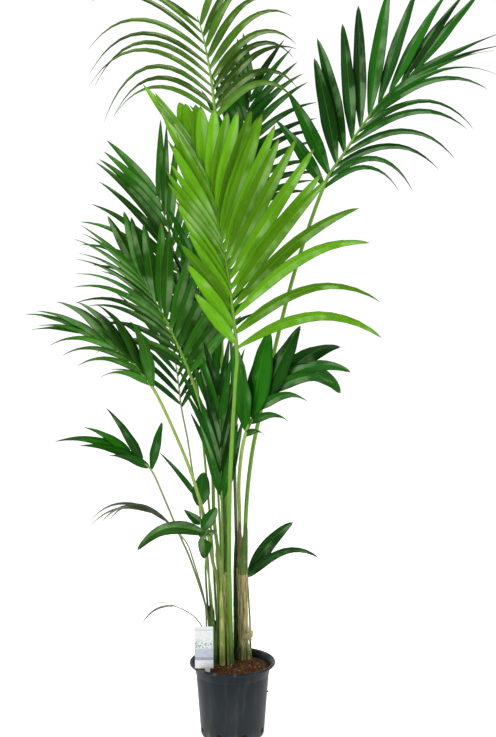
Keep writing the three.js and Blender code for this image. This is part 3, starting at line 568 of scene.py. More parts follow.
def leaf_material(name, dark, light, glow, through, painted_highlight):
    """A leaflet: paler midrib, fine parallel veins, patches, a dry tip, and a tone of its own for each one.

    glow is the colour of the light that comes through it, through the share of light that does, and the last
    one is the pale colour of a painted highlight, a glossy reflection painted in patches on one half of the
    blade.
    """
    make = Finish(name)
    x, y, _ = make.parts(make.uv())
    tone = make.tone()
    patches = make.noise(make.place(), 11.0)
    streaks = make.noise(make.stretched(make.uv(), (26.0, 1.6, 1.0)), 1.0, 2.0)
    veins = make.math("SINE", make.times(x, VEIN_PHASE))
    from_middle = make.from_middle(x)
    share = make.plus(make.times(tone, 1.1), make.math("SUBTRACT", patches, 0.42), clamp=True)
    # Painted highlight: pale gloss painted in patches on one half of each blade.
    painted_highlight_mask = make.times(make.band(x, 0.46, 0.54), make.band(patches, 0.44, 0.64, (0.0, 0.75)))
    dry_from = make.plus(y, make.times(tone, 0.03))
    body = make.layered(
        make.mix(share, dark, light),
        (make.band(streaks, 0.5, 0.8, (0.0, 0.45)), light),
        (make.band(veins, 0.2, 1.0, (0.0, 0.2)), dark),
        (make.band(y, 0.16, 0.0, (0.0, 0.5)), light),
        (painted_highlight_mask, painted_highlight),
        # Painted shade: each blade darkens towards its edges, where overlapping leaflets shade each other.
        (make.band(from_middle, 0.38, 0.5, (0.0, 0.75)), dark),
        (make.band(from_middle, 0.012, 0.045, (0.28, 0.0)), glow),
        (make.band(dry_from, 0.962, 1.0, (0.0, 0.8)), DRY_TIP))
    height = make.plus(make.times(veins, 0.35), make.band(from_middle, 0.0, 0.05, (1.0, 0.0)))
    return make.finish(body, make.band(patches, 0.3, 0.7, (0.32, 0.46)), 0.08, make.bump(height, 0.0005, 0.6),
                       translucent=make.mix(share, shade(glow, 0.7), glow), through=through)


def stalk_material(name, low, high, edge):
    """A petiole: colour runs from its foot to its tip, with stretched streaks and small scurfy spots."""
    make = Finish(name)
    x, _, _ = make.parts(make.uv())
    place = make.place()
    streaks = make.long_noise(place, 0.05, 240.0, 2.0)
    spots = make.long_noise(place, 0.3, 420.0, 1.0)
    body = make.layered(
        make.mix(make.tone(), low, high),
        (make.band(streaks, 0.4, 0.75, (0.0, 0.45)), low),
        (make.band(make.from_middle(x), 0.36, 0.5, (0.0, 0.45)), edge),
        (make.band(spots, 0.66, 0.74, (0.0, 0.35)), SCURF))
    return make.finish(body, make.band(streaks, 0.3, 0.7, (0.34, 0.48)), 0.3, make.bump(streaks, 0.0003, 0.5))


def fibre_material(name, dark, light, pale, green=None):
    """Dry leaf bases: long fibres in several tones, darker gaps between them, and green patches if given."""
    make = Finish(name)
    place = make.place()
    long = make.long_noise(place, 0.045, 330.0, 4.0, 0.65)
    short = make.long_noise(place, 0.25, 150.0)
    body = make.layered(
        make.mix(make.band(long, 0.36, 0.62), dark, light),
        (make.band(short, 0.52, 0.72, (0.0, 0.8)), pale),
        (make.times(make.tone(), 0.6, clamp=True), pale))
    if green is not None:
        body = make.mix(make.band(make.noise(place, 26.0, 2.0), 0.42, 0.6, (0.0, 0.85)), body, green)
    height = make.plus(long, make.times(short, 0.6))
    return make.finish(body, make.band(long, 0.3, 0.7, (0.85, 0.6)), 0.3, make.bump(height, 0.0011, 0.9))


def base_materials():
    """Dry brown husks, green leaf bases and olive sheaths, for stems and petioles."""
    return {
        "husk": fibre_material("brown husk", (0.035, 0.020, 0.009), (0.15, 0.095, 0.040), (0.32, 0.23, 0.11)),
        "leaf_base": fibre_material("green leaf base", (0.010, 0.035, 0.004), (0.040, 0.115, 0.010),
                                    (0.15, 0.21, 0.05), (0.025, 0.090, 0.006)),
        "sheath": fibre_material("olive sheath", (0.055, 0.085, 0.012), (0.26, 0.29, 0.07),
                                 (0.44, 0.42, 0.17), (0.14, 0.22, 0.025)),
    }


def stem_materials(settings):
    """Fibres of the trunk, of its prop roots and of the dark sheaths, besides those of leaf bases."""
    gap, dry, pale, sheath = settings.gap, settings.fibre, settings.pale, settings.dark_sheath
    return {
        "trunk": fibre_material("trunk fibre", gap, dry, pale),
        "root": fibre_material("prop root", gap, shade(dry, 0.8), pale, (0.085, 0.130, 0.025)),
        "dark_sheath": fibre_material("dark sheath", shade(sheath, 0.3), sheath, shade(dry, 0.6), sheath),
        **base_materials(),
    }


def foliage_materials(settings):
    """Leaves from the youngest to the oldest, their petioles, and the leaf bases at the petioles' feet."""
    def leaf(name, base, dark, light, *rest):
        return leaf_material(name, shade(base, dark), shade(base, light), *rest)

    stalk = settings.stalk
    return {
        # The last colour of each leaf is its painted highlight, the pale gloss on one half of its blades.
        "leaf_bright": leaf("young leaf", settings.bright, 0.6, 1.4,
                            (0.36, 0.62, 0.03), 0.36, (0.30, 0.50, 0.16)),
        "leaf_mid": leaf("green leaf", settings.mid, 0.4, 1.8,
                         (0.15, 0.38, 0.03), 0.2, (0.17, 0.30, 0.12)),
        "leaf_olive": leaf("olive leaf", settings.olive, 0.45, 1.7,
                           (0.28, 0.42, 0.05), 0.28, (0.34, 0.44, 0.22)),
        "leaf_dark": leaf("dark leaf", settings.dark, 0.3, 1.7,
                          (0.045, 0.24, 0.012), 0.12, (0.13, 0.23, 0.10)),
        "leaf_grey": leaf_material("grey leaf", (0.050, 0.075, 0.038), (0.13, 0.17, 0.10),
                                   (0.20, 0.25, 0.14), 0.2, (0.28, 0.30, 0.25)),
        "stalk_green": stalk_material("green stalk", shade(stalk, 0.42), shade(stalk, 1.05),
                                      shade(stalk, 0.5)),
        "stalk_fresh": stalk_material("fresh stalk", (0.060, 0.150, 0.008), (0.110, 0.240, 0.014),
                                      shade(stalk, 0.4)),
        "stalk_yellow": stalk_material("yellow stalk", shade(stalk, 0.6), (0.20, 0.29, 0.045),
                                       (0.12, 0.12, 0.05)),
        "stalk_dark": stalk_material("dark stalk", (0.045, 0.05, 0.022), (0.075, 0.13, 0.04),
                                     (0.05, 0.06, 0.03)),
        "stalk_grey": stalk_material("grey stalk", (0.10, 0.14, 0.045), (0.19, 0.23, 0.10),
                                     (0.09, 0.10, 0.055)),
        **base_materials(),
    }


def pot_material(settings):
    """Black moulded plastic: fine grain, drawn streaks, smudges, and dust low down and on the rim."""
    make = Finish("black nursery plastic")
    place = make.place()
    grain = make.noise(place, 900.0, 2.0)
    smears = make.long_noise(place, 0.16, 46.0, 5.0, 0.6)
    clouds = make.noise(place, 9.0)
    spots = make.noise(place, 150.0, 3.0, 0.7)
    height = make.parts(place)[2]
    foot = make.band(height, 0.03, 0.0, (0.0, 0.55))
    rim = make.band(height, 0.1665, 0.1745, (0.0, 0.5))
    dust = make.times(make.band(smears, 0.46, 0.8), make.plus(0.1, make.plus(foot, rim)), clamp=True)
    dust = make.plus(dust, make.times(make.band(spots, 0.7, 0.78, (0.0, 0.5)), foot), clamp=True)
    # The plastic is lighter towards the foot: fully below 6 cm, fading out by 15 cm.
    body = make.mix(make.band(height, 0.06, 0.15), settings.lower_plastic, settings.colour)
    roughness = make.plus(make.band(clouds, 0.3, 0.7, (0.36, 0.46)), make.times(dust, 0.3))
    bumps = make.plus(make.times(grain, 0.25), clouds)
    return make.finish(make.mix(dust, body, settings.dust), roughness, 0.12, make.bump(bumps, 0.0005, 0.35))


def soil_material(settings):
    """Peat: crumbs from nearly black to fox red, a tone for each crumb, and dark below its surface."""
    make = Finish("coarse peat")
    place = make.place()
    fine = make.noise(place, 420.0, 4.0, 0.7)
    broad = make.noise(place, 60.0, 2.0)
    share = make.plus(make.tone(), make.math("SUBTRACT", make.times(fine, 1.2), 0.35), clamp=True)
    body = make.mix(share, settings.dark, settings.colour)
    body = make.mix(make.band(broad, 0.55, 0.75, (0.0, 0.5)), body, settings.pale)
    body = make.mix(make.band(make.parts(place)[2], 0.150, 0.156), settings.dark, body)
    return make.finish(body, 0.95, 0.15, make.bump(fine, 0.0012, 0.9))


def chip_material():
    """Pale bark and straw in the peat."""
    make = Finish("wood chip")
    grain = make.noise(make.stretched(make.place(), (0.3, 1.0, 1.0)), 300.0)
    body = make.mix(make.band(grain, 0.35, 0.7), (0.19, 0.09, 0.035), (0.46, 0.29, 0.14))
    return make.finish(body, 0.85, 0.2, make.bump(grain, 0.0004, 0.8))


def label_material(settings):
    """White plastic with a band of small leaves, grey bands under it and a bare foot. It carries no words."""
    make = Finish("printed label")
    _, y, _ = make.parts(make.uv())
    cells = {"Vector": make.stretched(make.uv(), (9.0, 30.0, 1.0)), "Scale": 1.0}
    leaves = make.add("TexVoronoi", cells, feature="F1").outputs["Distance"]
    leaf_band = make.times(make.stripe(y, 0.47, 0.5, 0.6, 0.74), make.band(leaves, 0.5, 0.3))
    body = make.layered(
        make.mix(leaf_band, settings.plate, settings.leaves),
        (make.times(make.stripe(y, 0.19, 0.2, 0.47, 0.48), 0.85), settings.band),
        (make.times(make.stripe(y, 0.2, 0.205, 0.265, 0.27), 0.7), settings.rule),
        (make.times(make.stripe(y, 0.905, 0.91, 0.925, 0.93), 0.5), settings.rule))
    grain = make.noise(make.place(), 160.0, 2.0)
    return make.finish(body, make.band(grain, 0.3, 0.7, (0.24, 0.34)), 0.5, make.bump(grain, 0.0002, 0.3))


# ---- settings ----

def colour_property(name, description, default):
    return FloatVectorProperty(name=name, description=description, default=default, subtype="COLOR",
                               size=3, min=0, max=1)


class PalmPotSettings(bpy.types.PropertyGroup):
    colour: colour_property("Plastic", "Colour of the pot's plastic", (0.0062, 0.0105, 0.0128))
    # Colour that the plastic takes towards the pot's foot.
    lower_plastic: colour_property("Lower plastic", "Colour of the plastic lower down, towards its foot",
                          (0.0125, 0.0175, 0.0200))
    dust: colour_property("Dust", "Colour of the dust and dried peat on the pot", (0.21, 0.19, 0.165))
    facets: IntProperty(name="Facets per hole", description="Faces round the pot between two drain holes",
                        default=28, min=12, max=60)


class PalmSoilSettings(bpy.types.PropertyGroup):
    colour: colour_property("Peat", "Colour of the lighter peat crumbs", (0.100, 0.045, 0.014))
    dark: colour_property("Dark peat", "Colour of the moist peat between the crumbs", (0.022, 0.010, 0.006))
    pale: colour_property("Dry peat", "Colour of the dry fibres in the peat", (0.19, 0.105, 0.042))
    crumbs: IntProperty(name="Crumbs", description="How many crumbs lie on the surface", default=2600,
                        min=100)
    crumb: FloatProperty(name="Crumb size", description="Radius of the largest crumbs", default=3.4 * MM,
                         subtype="DISTANCE", unit="LENGTH")


class PalmLabelSettings(bpy.types.PropertyGroup):
    plate: colour_property("Plate", "Colour of the label's plastic", (0.50, 0.52, 0.52))
    leaves: colour_property("Leaves", "Colour of the printed band of leaves", (0.07, 0.20, 0.10))
    band: colour_property("Band", "Colour of the printed lower band", (0.30, 0.33, 0.40))
    rule: colour_property("Rules", "Colour of the printed lines", (0.15, 0.16, 0.20))
    bow: FloatProperty(name="Bow", description="How far the label's middle stands out", default=1.2 * MM,
                       subtype="DISTANCE", unit="LENGTH")


class PalmStemSettings(bpy.types.PropertyGroup):
    fibre: colour_property("Fibre", "Colour of the trunk's dry fibres", (0.42, 0.370, 0.155))
    gap: colour_property("Gaps", "Colour between the fibres", (0.060, 0.055, 0.020))
    pale: colour_property("Pale fibre", "Colour of the driest fibres", (0.62, 0.54, 0.32))
    dark_sheath: colour_property("Dark sheath", "Colour of the shaded leaf bases", (0.035, 0.05, 0.016))


class PalmFoliageSettings(bpy.types.PropertyGroup):
    bright: colour_property("Young leaf", "Colour of the youngest frond", (0.110, 0.32, 0.006))
    mid: colour_property("Leaf", "Colour of the sunlit fronds", (0.022, 0.110, 0.006))
    olive: colour_property("High leaf", "Colour of the highest frond", (0.050, 0.140, 0.010))
    dark: colour_property("Old leaf", "Colour of the oldest fronds", (0.007, 0.072, 0.001))
    stalk: colour_property("Stalk", "Colour of the petioles", (0.125, 0.25, 0.020))
    fold: FloatProperty(name="Fold", description="Height of a leaflet's fold for its half width",
                        default=0.26, min=0, max=1)
    thickness: FloatProperty(name="Leaf thickness", description="Thickness of a leaflet", default=0.6 * MM,
                             subtype="DISTANCE", unit="LENGTH")


class PalmStageSettings(bpy.types.PropertyGroup):
    floor: colour_property("Floor", "Colour of the floor", (0.93, 0.93, 0.92))
    glow: FloatProperty(name="Floor glow", description="Strength of the floor's own light", default=0.5,
                        min=0)
    sky: FloatProperty(name="Sky", description="Strength of the surroundings behind the palm", default=1.08,
                       min=0)
    front: FloatProperty(name="Front", description="Strength of the surroundings in front of it",
                         default=0.16, min=0)
    key: FloatProperty(name="Key light", description="Power of the large lamp", default=150, unit="POWER")
    fill: FloatProperty(name="Fill light", description="Power of the side lamp", default=60, unit="POWER")
    lens: FloatProperty(name="Lens", description="Focal length of the camera", default=42.69 * MM,
                        subtype="DISTANCE", unit="CAMERA")
    distance: FloatProperty(name="Distance", description="From the camera to the pot's middle", default=2.150,
                            subtype="DISTANCE", unit="LENGTH")
    height: FloatProperty(name="Height", description="Height of the camera", default=0.892,
                          subtype="DISTANCE", unit="LENGTH")


# ---- pot ----

# The outer wall starts at its foot, and both walls have rings at these heights and at the rows of the holes.
FOOT_INSET, FOOT_HEIGHT = 0.6, 2.4
OUTER_ROWS, INNER_ROWS, HOLE_ROWS = (40, 60, 80, 100, 120, 135), (150, 120, 90, 60, 40), 7
LIP_ROUND, RIM_ROUND = 1.3, 3
# Cells from a drain hole's middle to its side, how round its corner cells are drawn, and how far around it.
HALF_HOLE, ROUNDNESS, HOLE_MARGIN = 3, 0.8, 5
LUG_PLACE, LUG_RADIUS, LUG_STRETCH = (POT_TOP - 6.5, -8.0, 101.0), 2.6, 1.2


def inner_radius(z):
    return mix(POT_BASE, POT_TOP, z / SHOULDER) - POT_WALL


def arc(centre, radius, start, end, count):
    """Points of a round stretch of the profile: angles in degrees from outward to upward."""
    angle = np.radians(np.linspace(start, end, count))
    return [(centre[0] + radius * math.cos(a), centre[1] + radius * math.sin(a)) for a in angle]


def pot_profile():
    """Outer wall from the base's middle to the rim, then inside it down to the floor: radius and height."""
    step = inner_radius(STEP_HEIGHT) + POT_WALL - STEP_OUT
    foot = POT_BASE - FOOT_INSET
    wall = [(mix(foot, step, (z - FOOT_HEIGHT) / (STEP_HEIGHT - FOOT_HEIGHT)), z)
            for z in (5, *np.linspace(DRAIN_LOW, DRAIN_HIGH, HOLE_ROWS), *OUTER_ROWS, STEP_HEIGHT)]
    outer = [(20, 0), (50, 0), (POT_BASE - 3, 0), (POT_BASE - 1.5, 0.5), (foot, FOOT_HEIGHT), *wall,
             (step + 0.5, STEP_HEIGHT + 0.5), (step + STEP_OUT, STEP_HEIGHT + 1.5),
             (POT_TOP - 0.1, SHOULDER - 1), (POT_TOP + 0.6, SHOULDER + 0.8), (POT_TOP + 4, SHOULDER + 4)]
    under = POT_HEIGHT - RIM_DEPTH
    lip = [(RIM_RADIUS - 4, under + 1), (RIM_RADIUS - 2.4, under + 0.1),
           *arc((RIM_RADIUS - LIP_ROUND, under + LIP_ROUND), LIP_ROUND, -90, 0, 4),
           *arc((RIM_RADIUS - RIM_ROUND, POT_HEIGHT - RIM_ROUND), RIM_ROUND, 0, 110, 7),
           (RIM_RADIUS - 6.5, POT_HEIGHT - 1.4), (RIM_RADIUS - 8, POT_HEIGHT - 3.2)]
    inside = [(POT_TOP + 1, SHOULDER + 4.6), (POT_TOP - 0.6, SHOULDER + 1.6),
              (inner_radius(SHOULDER), SHOULDER - 1)]
    inside += [(inner_radius(z), z)
               for z in (*INNER_ROWS, *np.linspace(DRAIN_HIGH, DRAIN_LOW, HOLE_ROWS), 5, POT_FLOOR)]
    return np.array(outer + lip + inside + [(50, POT_FLOOR), (20, POT_FLOOR)])


def round_holes(angle, z, per_hole):
    """Moves grid points near each drain hole so that its square of cells becomes round.

    A point at (a, b) from the hole's middle, in half widths, has the square distance m = max(|a|, |b|). It is
    drawn towards the circle of radius m where m is 1 or less, and less and less up to m = 2.
    """
    pitch = TAU / DRAIN_HOLES
    half_turn = HALF_HOLE * pitch / per_hole
    half_height = (DRAIN_HIGH - DRAIN_LOW) / 2
    a = (np.mod(angle, pitch) - pitch / 2) / half_turn
    b = (z - (DRAIN_LOW + DRAIN_HIGH) / 2) / half_height
    square = np.maximum(np.abs(a), np.abs(b))
    share = np.clip(2 - square, 0, 1) * ROUNDNESS
    pull = mix(1, square / np.maximum(np.hypot(a, b), 1e-9), share) - 1
    return angle + pull * a * half_turn, z + pull * b * half_height


def pot_part(per_hole):
    """The profile turned about Z, with the cells of each drain hole left out and both walls joined there."""
    profile = pot_profile()
    sides = per_hole * DRAIN_HOLES
    angle, z = np.meshgrid(ring_angles(sides), profile[:, 1])
    near = (z > DRAIN_LOW - HOLE_MARGIN) & (z < DRAIN_HIGH + HOLE_MARGIN)
    moved_angle, moved_z = round_holes(angle, z, per_hole)
    angle, height = np.where(near, moved_angle, angle), np.where(near, moved_z, z)
    radius = profile[:, :1]
    rings = np.stack([radius * np.cos(angle), radius * np.sin(angle), height], -1)
    run = np.concatenate([[0], np.cumsum(np.hypot(*np.diff(profile, axis=0).T))]) * MM
    whole = skins(rings[None], np.zeros((1, 3)), np.array([[0.0, 0.0, POT_FLOOR]]), with_ends(run), 0.5,
                  "plastic")
    return cut_holes(whole, profile[:, 1], sides, per_hole)


def cut_holes(whole, heights, sides, per_hole):
    """Leaves out the quads inside the holes and adds the short walls from the outer skin to the inner one."""
    start, end = heights[:-1], heights[1:]
    in_hole = (np.minimum(start, end) >= DRAIN_LOW - 0.01) & (np.maximum(start, end) <= DRAIN_HIGH + 0.01)
    outer, inner = in_hole & (end > start), in_hole & (end < start)
    column = np.arange(sides) % per_hole - per_hole // 2
    gone = ((outer | inner)[:, None] & (column >= -HALF_HOLE) & (column < HALF_HOLE)).reshape(-1)
    keep = np.concatenate([~gone, np.ones(len(whole.sizes) - len(gone), bool)])
    keep_corner = np.repeat(keep, whole.sizes)

    outer_rows = np.flatnonzero(outer)[0] + np.arange(HOLE_ROWS)
    inner_rows = np.flatnonzero(inner)[-1] + 1 - np.arange(HOLE_ROWS)
    rows = np.arange(HOLE_ROWS)

    def strip(row, columns):
        """Quads from the outer skin to the inner one along a line of points."""
        a, b = outer_rows[row] * sides + columns, inner_rows[row] * sides + columns
        return np.stack([a[:-1], a[1:], b[1:], b[:-1]], -1)

    walls = []
    for first in np.flatnonzero(column == -HALF_HOLE):
        columns = (first + np.arange(2 * HALF_HOLE + 1)) % sides
        walls += [strip(0, columns), strip(-1, columns[::-1]), strip(rows[::-1], columns[0]),
                  strip(rows, columns[-1])]
    walls = np.concatenate(walls)
    return whole._replace(corners=np.concatenate([whole.corners[keep_corner], walls.reshape(-1)]),
                          sizes=np.concatenate([whole.sizes[keep], np.full(len(walls), 4)]),
                          uvs=np.concatenate([whole.uvs[keep_corner], np.zeros((walls.size, 2))]))


def pot_lug():
    """A small lug that the mould left on the pot's right side."""
    return lumps(np.array([LUG_PLACE]), np.array([LUG_RADIUS]), np.array([LUG_STRETCH]), 5, 0.5, "plastic",
                 high=5, sides=10)


# ---- soil and label ----

SOIL_SIDES, SOIL_RINGS, INNERMOST = 144, 48, 0.02
SOIL_MARGIN = 4
SMALLEST_CRUMB, SUNK_CRUMB = 0.22, 0.25
CHIPS, CHIP_LIFT = 46, 1.2
# The one large chip, in front of the stems: its place, radius and stretch.
BIG_CHIP, BIG_RADIUS, BIG_STRETCH = (-6, -11), 3.0, 3.4
# A lump's height for its width, how uneven it is and how far it leans at most, in radians.
FLATNESS, UNEVENNESS, LEAN = 0.75, 0.5, 0.9


def soil_height(x, y):
    """A mound of 0.6 SOIL_MOUND (1 - r^2), bumps of two sine waves that fade as 1 - r, and finer relief."""
    r = np.hypot(x, y) / POT_TOP
    bumps = np.sin(x * 0.19 + 1) * np.cos(y * 0.23) + 0.6 * np.sin(x * 0.07 - y * 0.41)
    fine = 2.2 * relief(x / 7, y / 7, 3) + 1.6 * relief(x / 2.6, y / 2.6, 4)
    return SOIL_TOP + 0.6 * SOIL_MOUND * (1 - r * r) + SOIL_BUMP * bumps * (1 - r) + fine


def soil_body():
    """Peat from the pot's floor up: rings that shrink to the middle, each point at the soil's height."""
    base = POT_FLOOR + CLEARANCE
    angle = ring_angles(SOIL_SIDES)
    radius = (inner_radius(SOIL_TOP) - CLEARANCE) * np.linspace(1, INNERMOST, SOIL_RINGS)[:, None]
    x, y = radius * np.cos(angle), radius * np.sin(angle)
    low = inner_radius(base) - CLEARANCE
    foot = np.stack([low * np.cos(angle), low * np.sin(angle), np.full(SOIL_SIDES, base)], -1)
    rings = np.concatenate([foot[None], np.stack([x, y, soil_height(x, y)], -1)])
    return skins(rings[None], np.array([[0, 0, base]]), np.array([[0, 0, soil_height(0.0, 0.0)]]),
                 with_ends(np.linspace(0, 1, len(rings))), 0.12, "peat")


def scattered(count, seed):
    """Places spread evenly over the peat: radius by the square root of a draw, angle by another."""
    k = np.arange(count)
    radius = (inner_radius(SOIL_TOP) - SOIL_MARGIN) * np.sqrt(chance(seed, k))
    angle = TAU * chance(seed + 1, k)
    return radius * np.cos(angle), radius * np.sin(angle)


def lumps(centres, sizes, stretch, seed, tones, finish, high=3, sides=6):
    """Small uneven bodies: rings at even latitudes of a flattened ball, each point drawn in or out by up to
    half of UNEVENNESS, stretched along one way, leaned, and turned to a random direction."""
    count = len(centres)
    latitude = np.pi * (np.arange(high) + 1) / (high + 1)
    angle = ring_angles(sides)
    points = np.arange(count * high * sides).reshape(count, high, sides)
    reach = sizes[:, None, None] * (1 + UNEVENNESS * draw(seed, points))
    level = reach * np.sin(latitude)[:, None]
    x, y = level * np.cos(angle) * stretch[:, None, None], level * np.sin(angle)
    z = -FLATNESS * reach * np.cos(latitude)[:, None]
    lean = LEAN * draw(seed + 2, np.arange(count))[:, None, None]
    turn = TAU * draw(seed + 1, np.arange(count))[:, None, None]
    x, z = x * np.cos(lean) - z * np.sin(lean), x * np.sin(lean) + z * np.cos(lean)
    x, y = x * np.cos(turn) - y * np.sin(turn), x * np.sin(turn) + y * np.cos(turn)
    rings = np.stack([x, y, z], -1) + centres[:, None, None]
    pole = FLATNESS * sizes[:, None] * UP
    tones = np.broadcast_to(tones, sizes.shape)
    return skins(rings, centres - pole, centres + pole, np.linspace(0, 1, high + 2), tones, finish)


def soil_parts(settings):
    """The body of peat, its crumbs, which are mostly small ones, and a few pale chips."""
    x, y = scattered(settings.crumbs, 11)
    k = np.arange(settings.crumbs)
    size = settings.crumb / MM * mix(SMALLEST_CRUMB, 1, chance(13, k) ** 3)
    centres = np.stack([x, y, soil_height(x, y) + SUNK_CRUMB * size], -1)
    crumbs = lumps(centres, size, 1 + 0.9 * chance(14, k), 15, draw(16, k) * 0.9 + 0.35, "peat")

    x, y = scattered(CHIPS, 21)
    x[0], y[0] = BIG_CHIP
    k = np.arange(CHIPS)
    size = np.where(k == 0, BIG_RADIUS, 0.9 + 1.1 * chance(22, k))
    centres = np.stack([x, y, soil_height(x, y) + CHIP_LIFT], -1)
    chips = lumps(centres, size, np.where(k == 0, BIG_STRETCH, 2.2 + 2 * draw(23, k)), 24, 0.5, "chip")
    return [soil_body(), crumbs, chips]


def label_part(settings):
    """A plate whose width at height t follows its outline, bowed by b (1 - x^2) across, on a narrow stake."""
    stake, half = STAKE_WIDTH / 2, LABEL_WIDTH / 2
    rows = [(STAKE_SHIFT, STAKE_TIP, -STAKE_DEPTH), (STAKE_SHIFT, stake, -STAKE_DEPTH + STAKE_WIDTH),
            (STAKE_SHIFT, stake, -STAKE_WIDTH), (STAKE_SHIFT, stake, 0), (0, half, 0)]
    rows += [(0, half, z) for z in np.linspace(12, LABEL_HEIGHT - LABEL_CORNER - 6, 8)]
    rows += [(0, half - LABEL_CORNER * (1 - math.cos(a)), LABEL_HEIGHT - LABEL_CORNER * (1 - math.sin(a)))
             for a in np.radians(np.arange(0, 90, 15))]
    rows += [(0, half - LABEL_CORNER - 3, LABEL_HEIGHT)]
    shift, width, t = np.array(rows).T[..., None]
    x = shift + width * np.linspace(-1, 1, 13)
    bow = settings.bow / MM * (1 - (x / half) ** 2)
    angle = math.pi / 2 + math.radians(LABEL_LEAN)

    def leaned(out):
        """The points of a sheet that stands out by so much from the label's plane."""
        level = t * math.cos(angle) - out * math.sin(angle)
        height = t * math.sin(angle) + out * math.cos(angle)
        return np.stack([x, level, height], -1) + np.array(LABEL_BOTTOM)

    return plate(leaned(LABEL_THICKNESS + bow), leaned(bow), with_ends(t[:, 0]) / LABEL_HEIGHT, 0.5, "label")


# ---- stems ----

STEM_FACE = np.array([0.0, -1.0, 0.0])
# Rings stand this far apart up a stem, with so many sides and flutes, and close in over the last share of it.
RING_GAP, STEM_SIDES, FLUTES, CLOSING = 3, 56, 14, 0.07
STRAND_POINTS, STRAND_RADIUS, STRAND_LENGTH = 8, 0.5, (0.15, 0.5)
TONGUE_THICKNESS, TONGUE_END = 1.0, 0.985
# The dark sheath above the trunk, and the nest of dry fibres at the trunk's side.
SHEATH = ((24, 50, 376), (24, 46, 440), (24.5, 43.5, 512))
NEST_PLACE, NEST_REACH, NEST_FIBRES = (37.0, 34.0, 227.0), 15.0, 110
# The solids' prop roots and thin ones between them: turn in sixths of a circle, how much further out and
# higher up, and thickness.
Leg = namedtuple("Leg", "turn out rise thickness")
LEG_KINDS = (Leg(0.3, 0, 0, 1), Leg(0.8, 2, -16, 0.42))


def stem_body(stem, seed):
    """A tube about the stem's route with flutes: the radius swells by long relief stretched up the stem."""
    route = Route(stem.route)
    shares = np.linspace(0.1, 1, int(route.length / RING_GAP))
    close = np.clip((shares - (1 - CLOSING)) / CLOSING, 0, 1)
    radius = radius_at(stem.radius, 0.5, shares) * (1 - 0.35 * close ** 2)

    def section(share, angle):
        turns = angle / TAU * FLUTES
        seam = np.clip(angle / TAU * 3, 0, 1)
        flutes = mix(relief(turns + FLUTES, share * 6, seed), relief(turns, share * 6, seed), seam)
        return 1 + 0.10 * flutes + 0.05 * np.sin(3 * angle + 5 * share + seed)

    return tube(route, shares, radius, STEM_FACE, STEM_SIDES, 0.1, stem.finish, section)


def surface_strands(route, radius, low, high, count, seed, finish, loose):
    """Thin fibres on a stem: each climbs from its own height at its own angle, sways, and lifts at its end.

    At share t of a fibre the angle is a + sway sin(3 t + phase) and the distance from the axis is the stem's
    radius plus loose t^3, so that only its end stands away.
    """
    k = np.arange(count)
    t = np.linspace(0, 1, STRAND_POINTS)
    start = low + 0.85 * (high - low) * chance(seed, k)[:, None]
    length = (high - low) * mix(*STRAND_LENGTH, chance(seed + 1, k)[:, None])
    share = np.clip(start + length * t, 0, 0.995)
    sway = 0.5 * draw(seed + 3, k)[:, None] * np.sin(3 * t + 9 * draw(seed + 4, k)[:, None])
    angle = TAU * chance(seed + 2, k)[:, None] + sway
    away = radius_at(radius, 0.5, share) + 0.35 + loose * chance(seed + 5, k)[:, None] * t ** 3
    lines = route.point(share) + route.spokes(share, STEM_FACE, angle) * away[..., None]
    return strands(lines, STRAND_RADIUS * (0.6 + 0.8 * chance(seed + 6, k)), chance(seed + 7, k), finish)


def strands(lines, radius, tones, finish):
    """Thin tapering tubes along N given lines of points, with a triangle for their section."""
    way = unit(np.gradient(lines, axis=1))
    out = unit(np.cross(way, np.array([0.31, 0.83, 0.46])))[:, :, None]
    across = np.cross(out, way[:, :, None])
    angle = ring_angles(3)[:, None]
    reach = (radius[:, None] * np.linspace(1, 0.35, lines.shape[1]))[..., None, None]
    rings = lines[:, :, None] + reach * (across * np.cos(angle) + out * np.sin(angle))
    along = with_ends(np.linspace(0, 1, lines.shape[1]))
    return skins(rings, lines[:, 0], lines[:, -1], along, tones, finish)


def tongue(route, high, radius, width, turn, flare, tone, finish, low=0.0):
    """A leaf base wrapped round a route: a curved plate whose width shrinks to a point at its top.

    At share t it covers an angle of width (1 - t^2.5) about the direction turn, at a distance of
    radius + flare t^2. radius holds shares of the route and the radii there.
    """
    t = np.linspace(0, TONGUE_END, 26)[:, None]
    share = mix(low, high, t)
    columns = np.linspace(-0.5, 0.5, 15)
    angle = turn + width * (1 - t ** 2.5) * columns
    wave = 0.5 * relief(columns * 9 + 40, t * 4, 9)
    away = (np.interp(share, *radius) + flare * t ** 2 + wave)[..., None]
    centre, spoke = route.point(share), route.spokes(share, STEM_FACE, angle)
    return plate(centre + spoke * (away + TONGUE_THICKNESS), centre + spoke * away,
                 np.concatenate([[0], t[:, 0], [1]]), tone, finish)


def prop_roots(stem):
    """Roots from the trunk's foot into the peat, bowed over a knee: the solids' own and as many thin ones."""
    route = Route(stem.route)
    shares = np.linspace(0, 1, 22)
    radius = mix(*LEG_RADIUS, shares)
    parts = []
    for index in range(2 * LEGS):
        kind = LEG_KINDS[index // LEGS]
        turn = TAU * (index + kind.turn) / LEGS
        reach = LEG_OUT + 3 * draw(7, index) + kind.out
        top = route.point(0.35)
        top[2] = LEG_TOP + 26 * draw(8, index) + kind.rise
        foot = route.point(0.0) + [reach * math.cos(turn), reach * math.sin(turn), 0]
        foot[2] = LEG_FOOT
        knee = mix(np.array([foot[0], foot[1], SOIL_TOP + 22]), top, 0.2)

        def section(share, angle, seed=30 + index):
            return 1 + 0.22 * relief(share * 9, np.cos(angle) * 1.5 + 4, seed)

        parts.append(tube(Route([top, knee, foot]), shares, radius * kind.thickness, STEM_FACE, 12,
                          0.25 + 0.3 * draw(9, index), "root", section))
    return parts


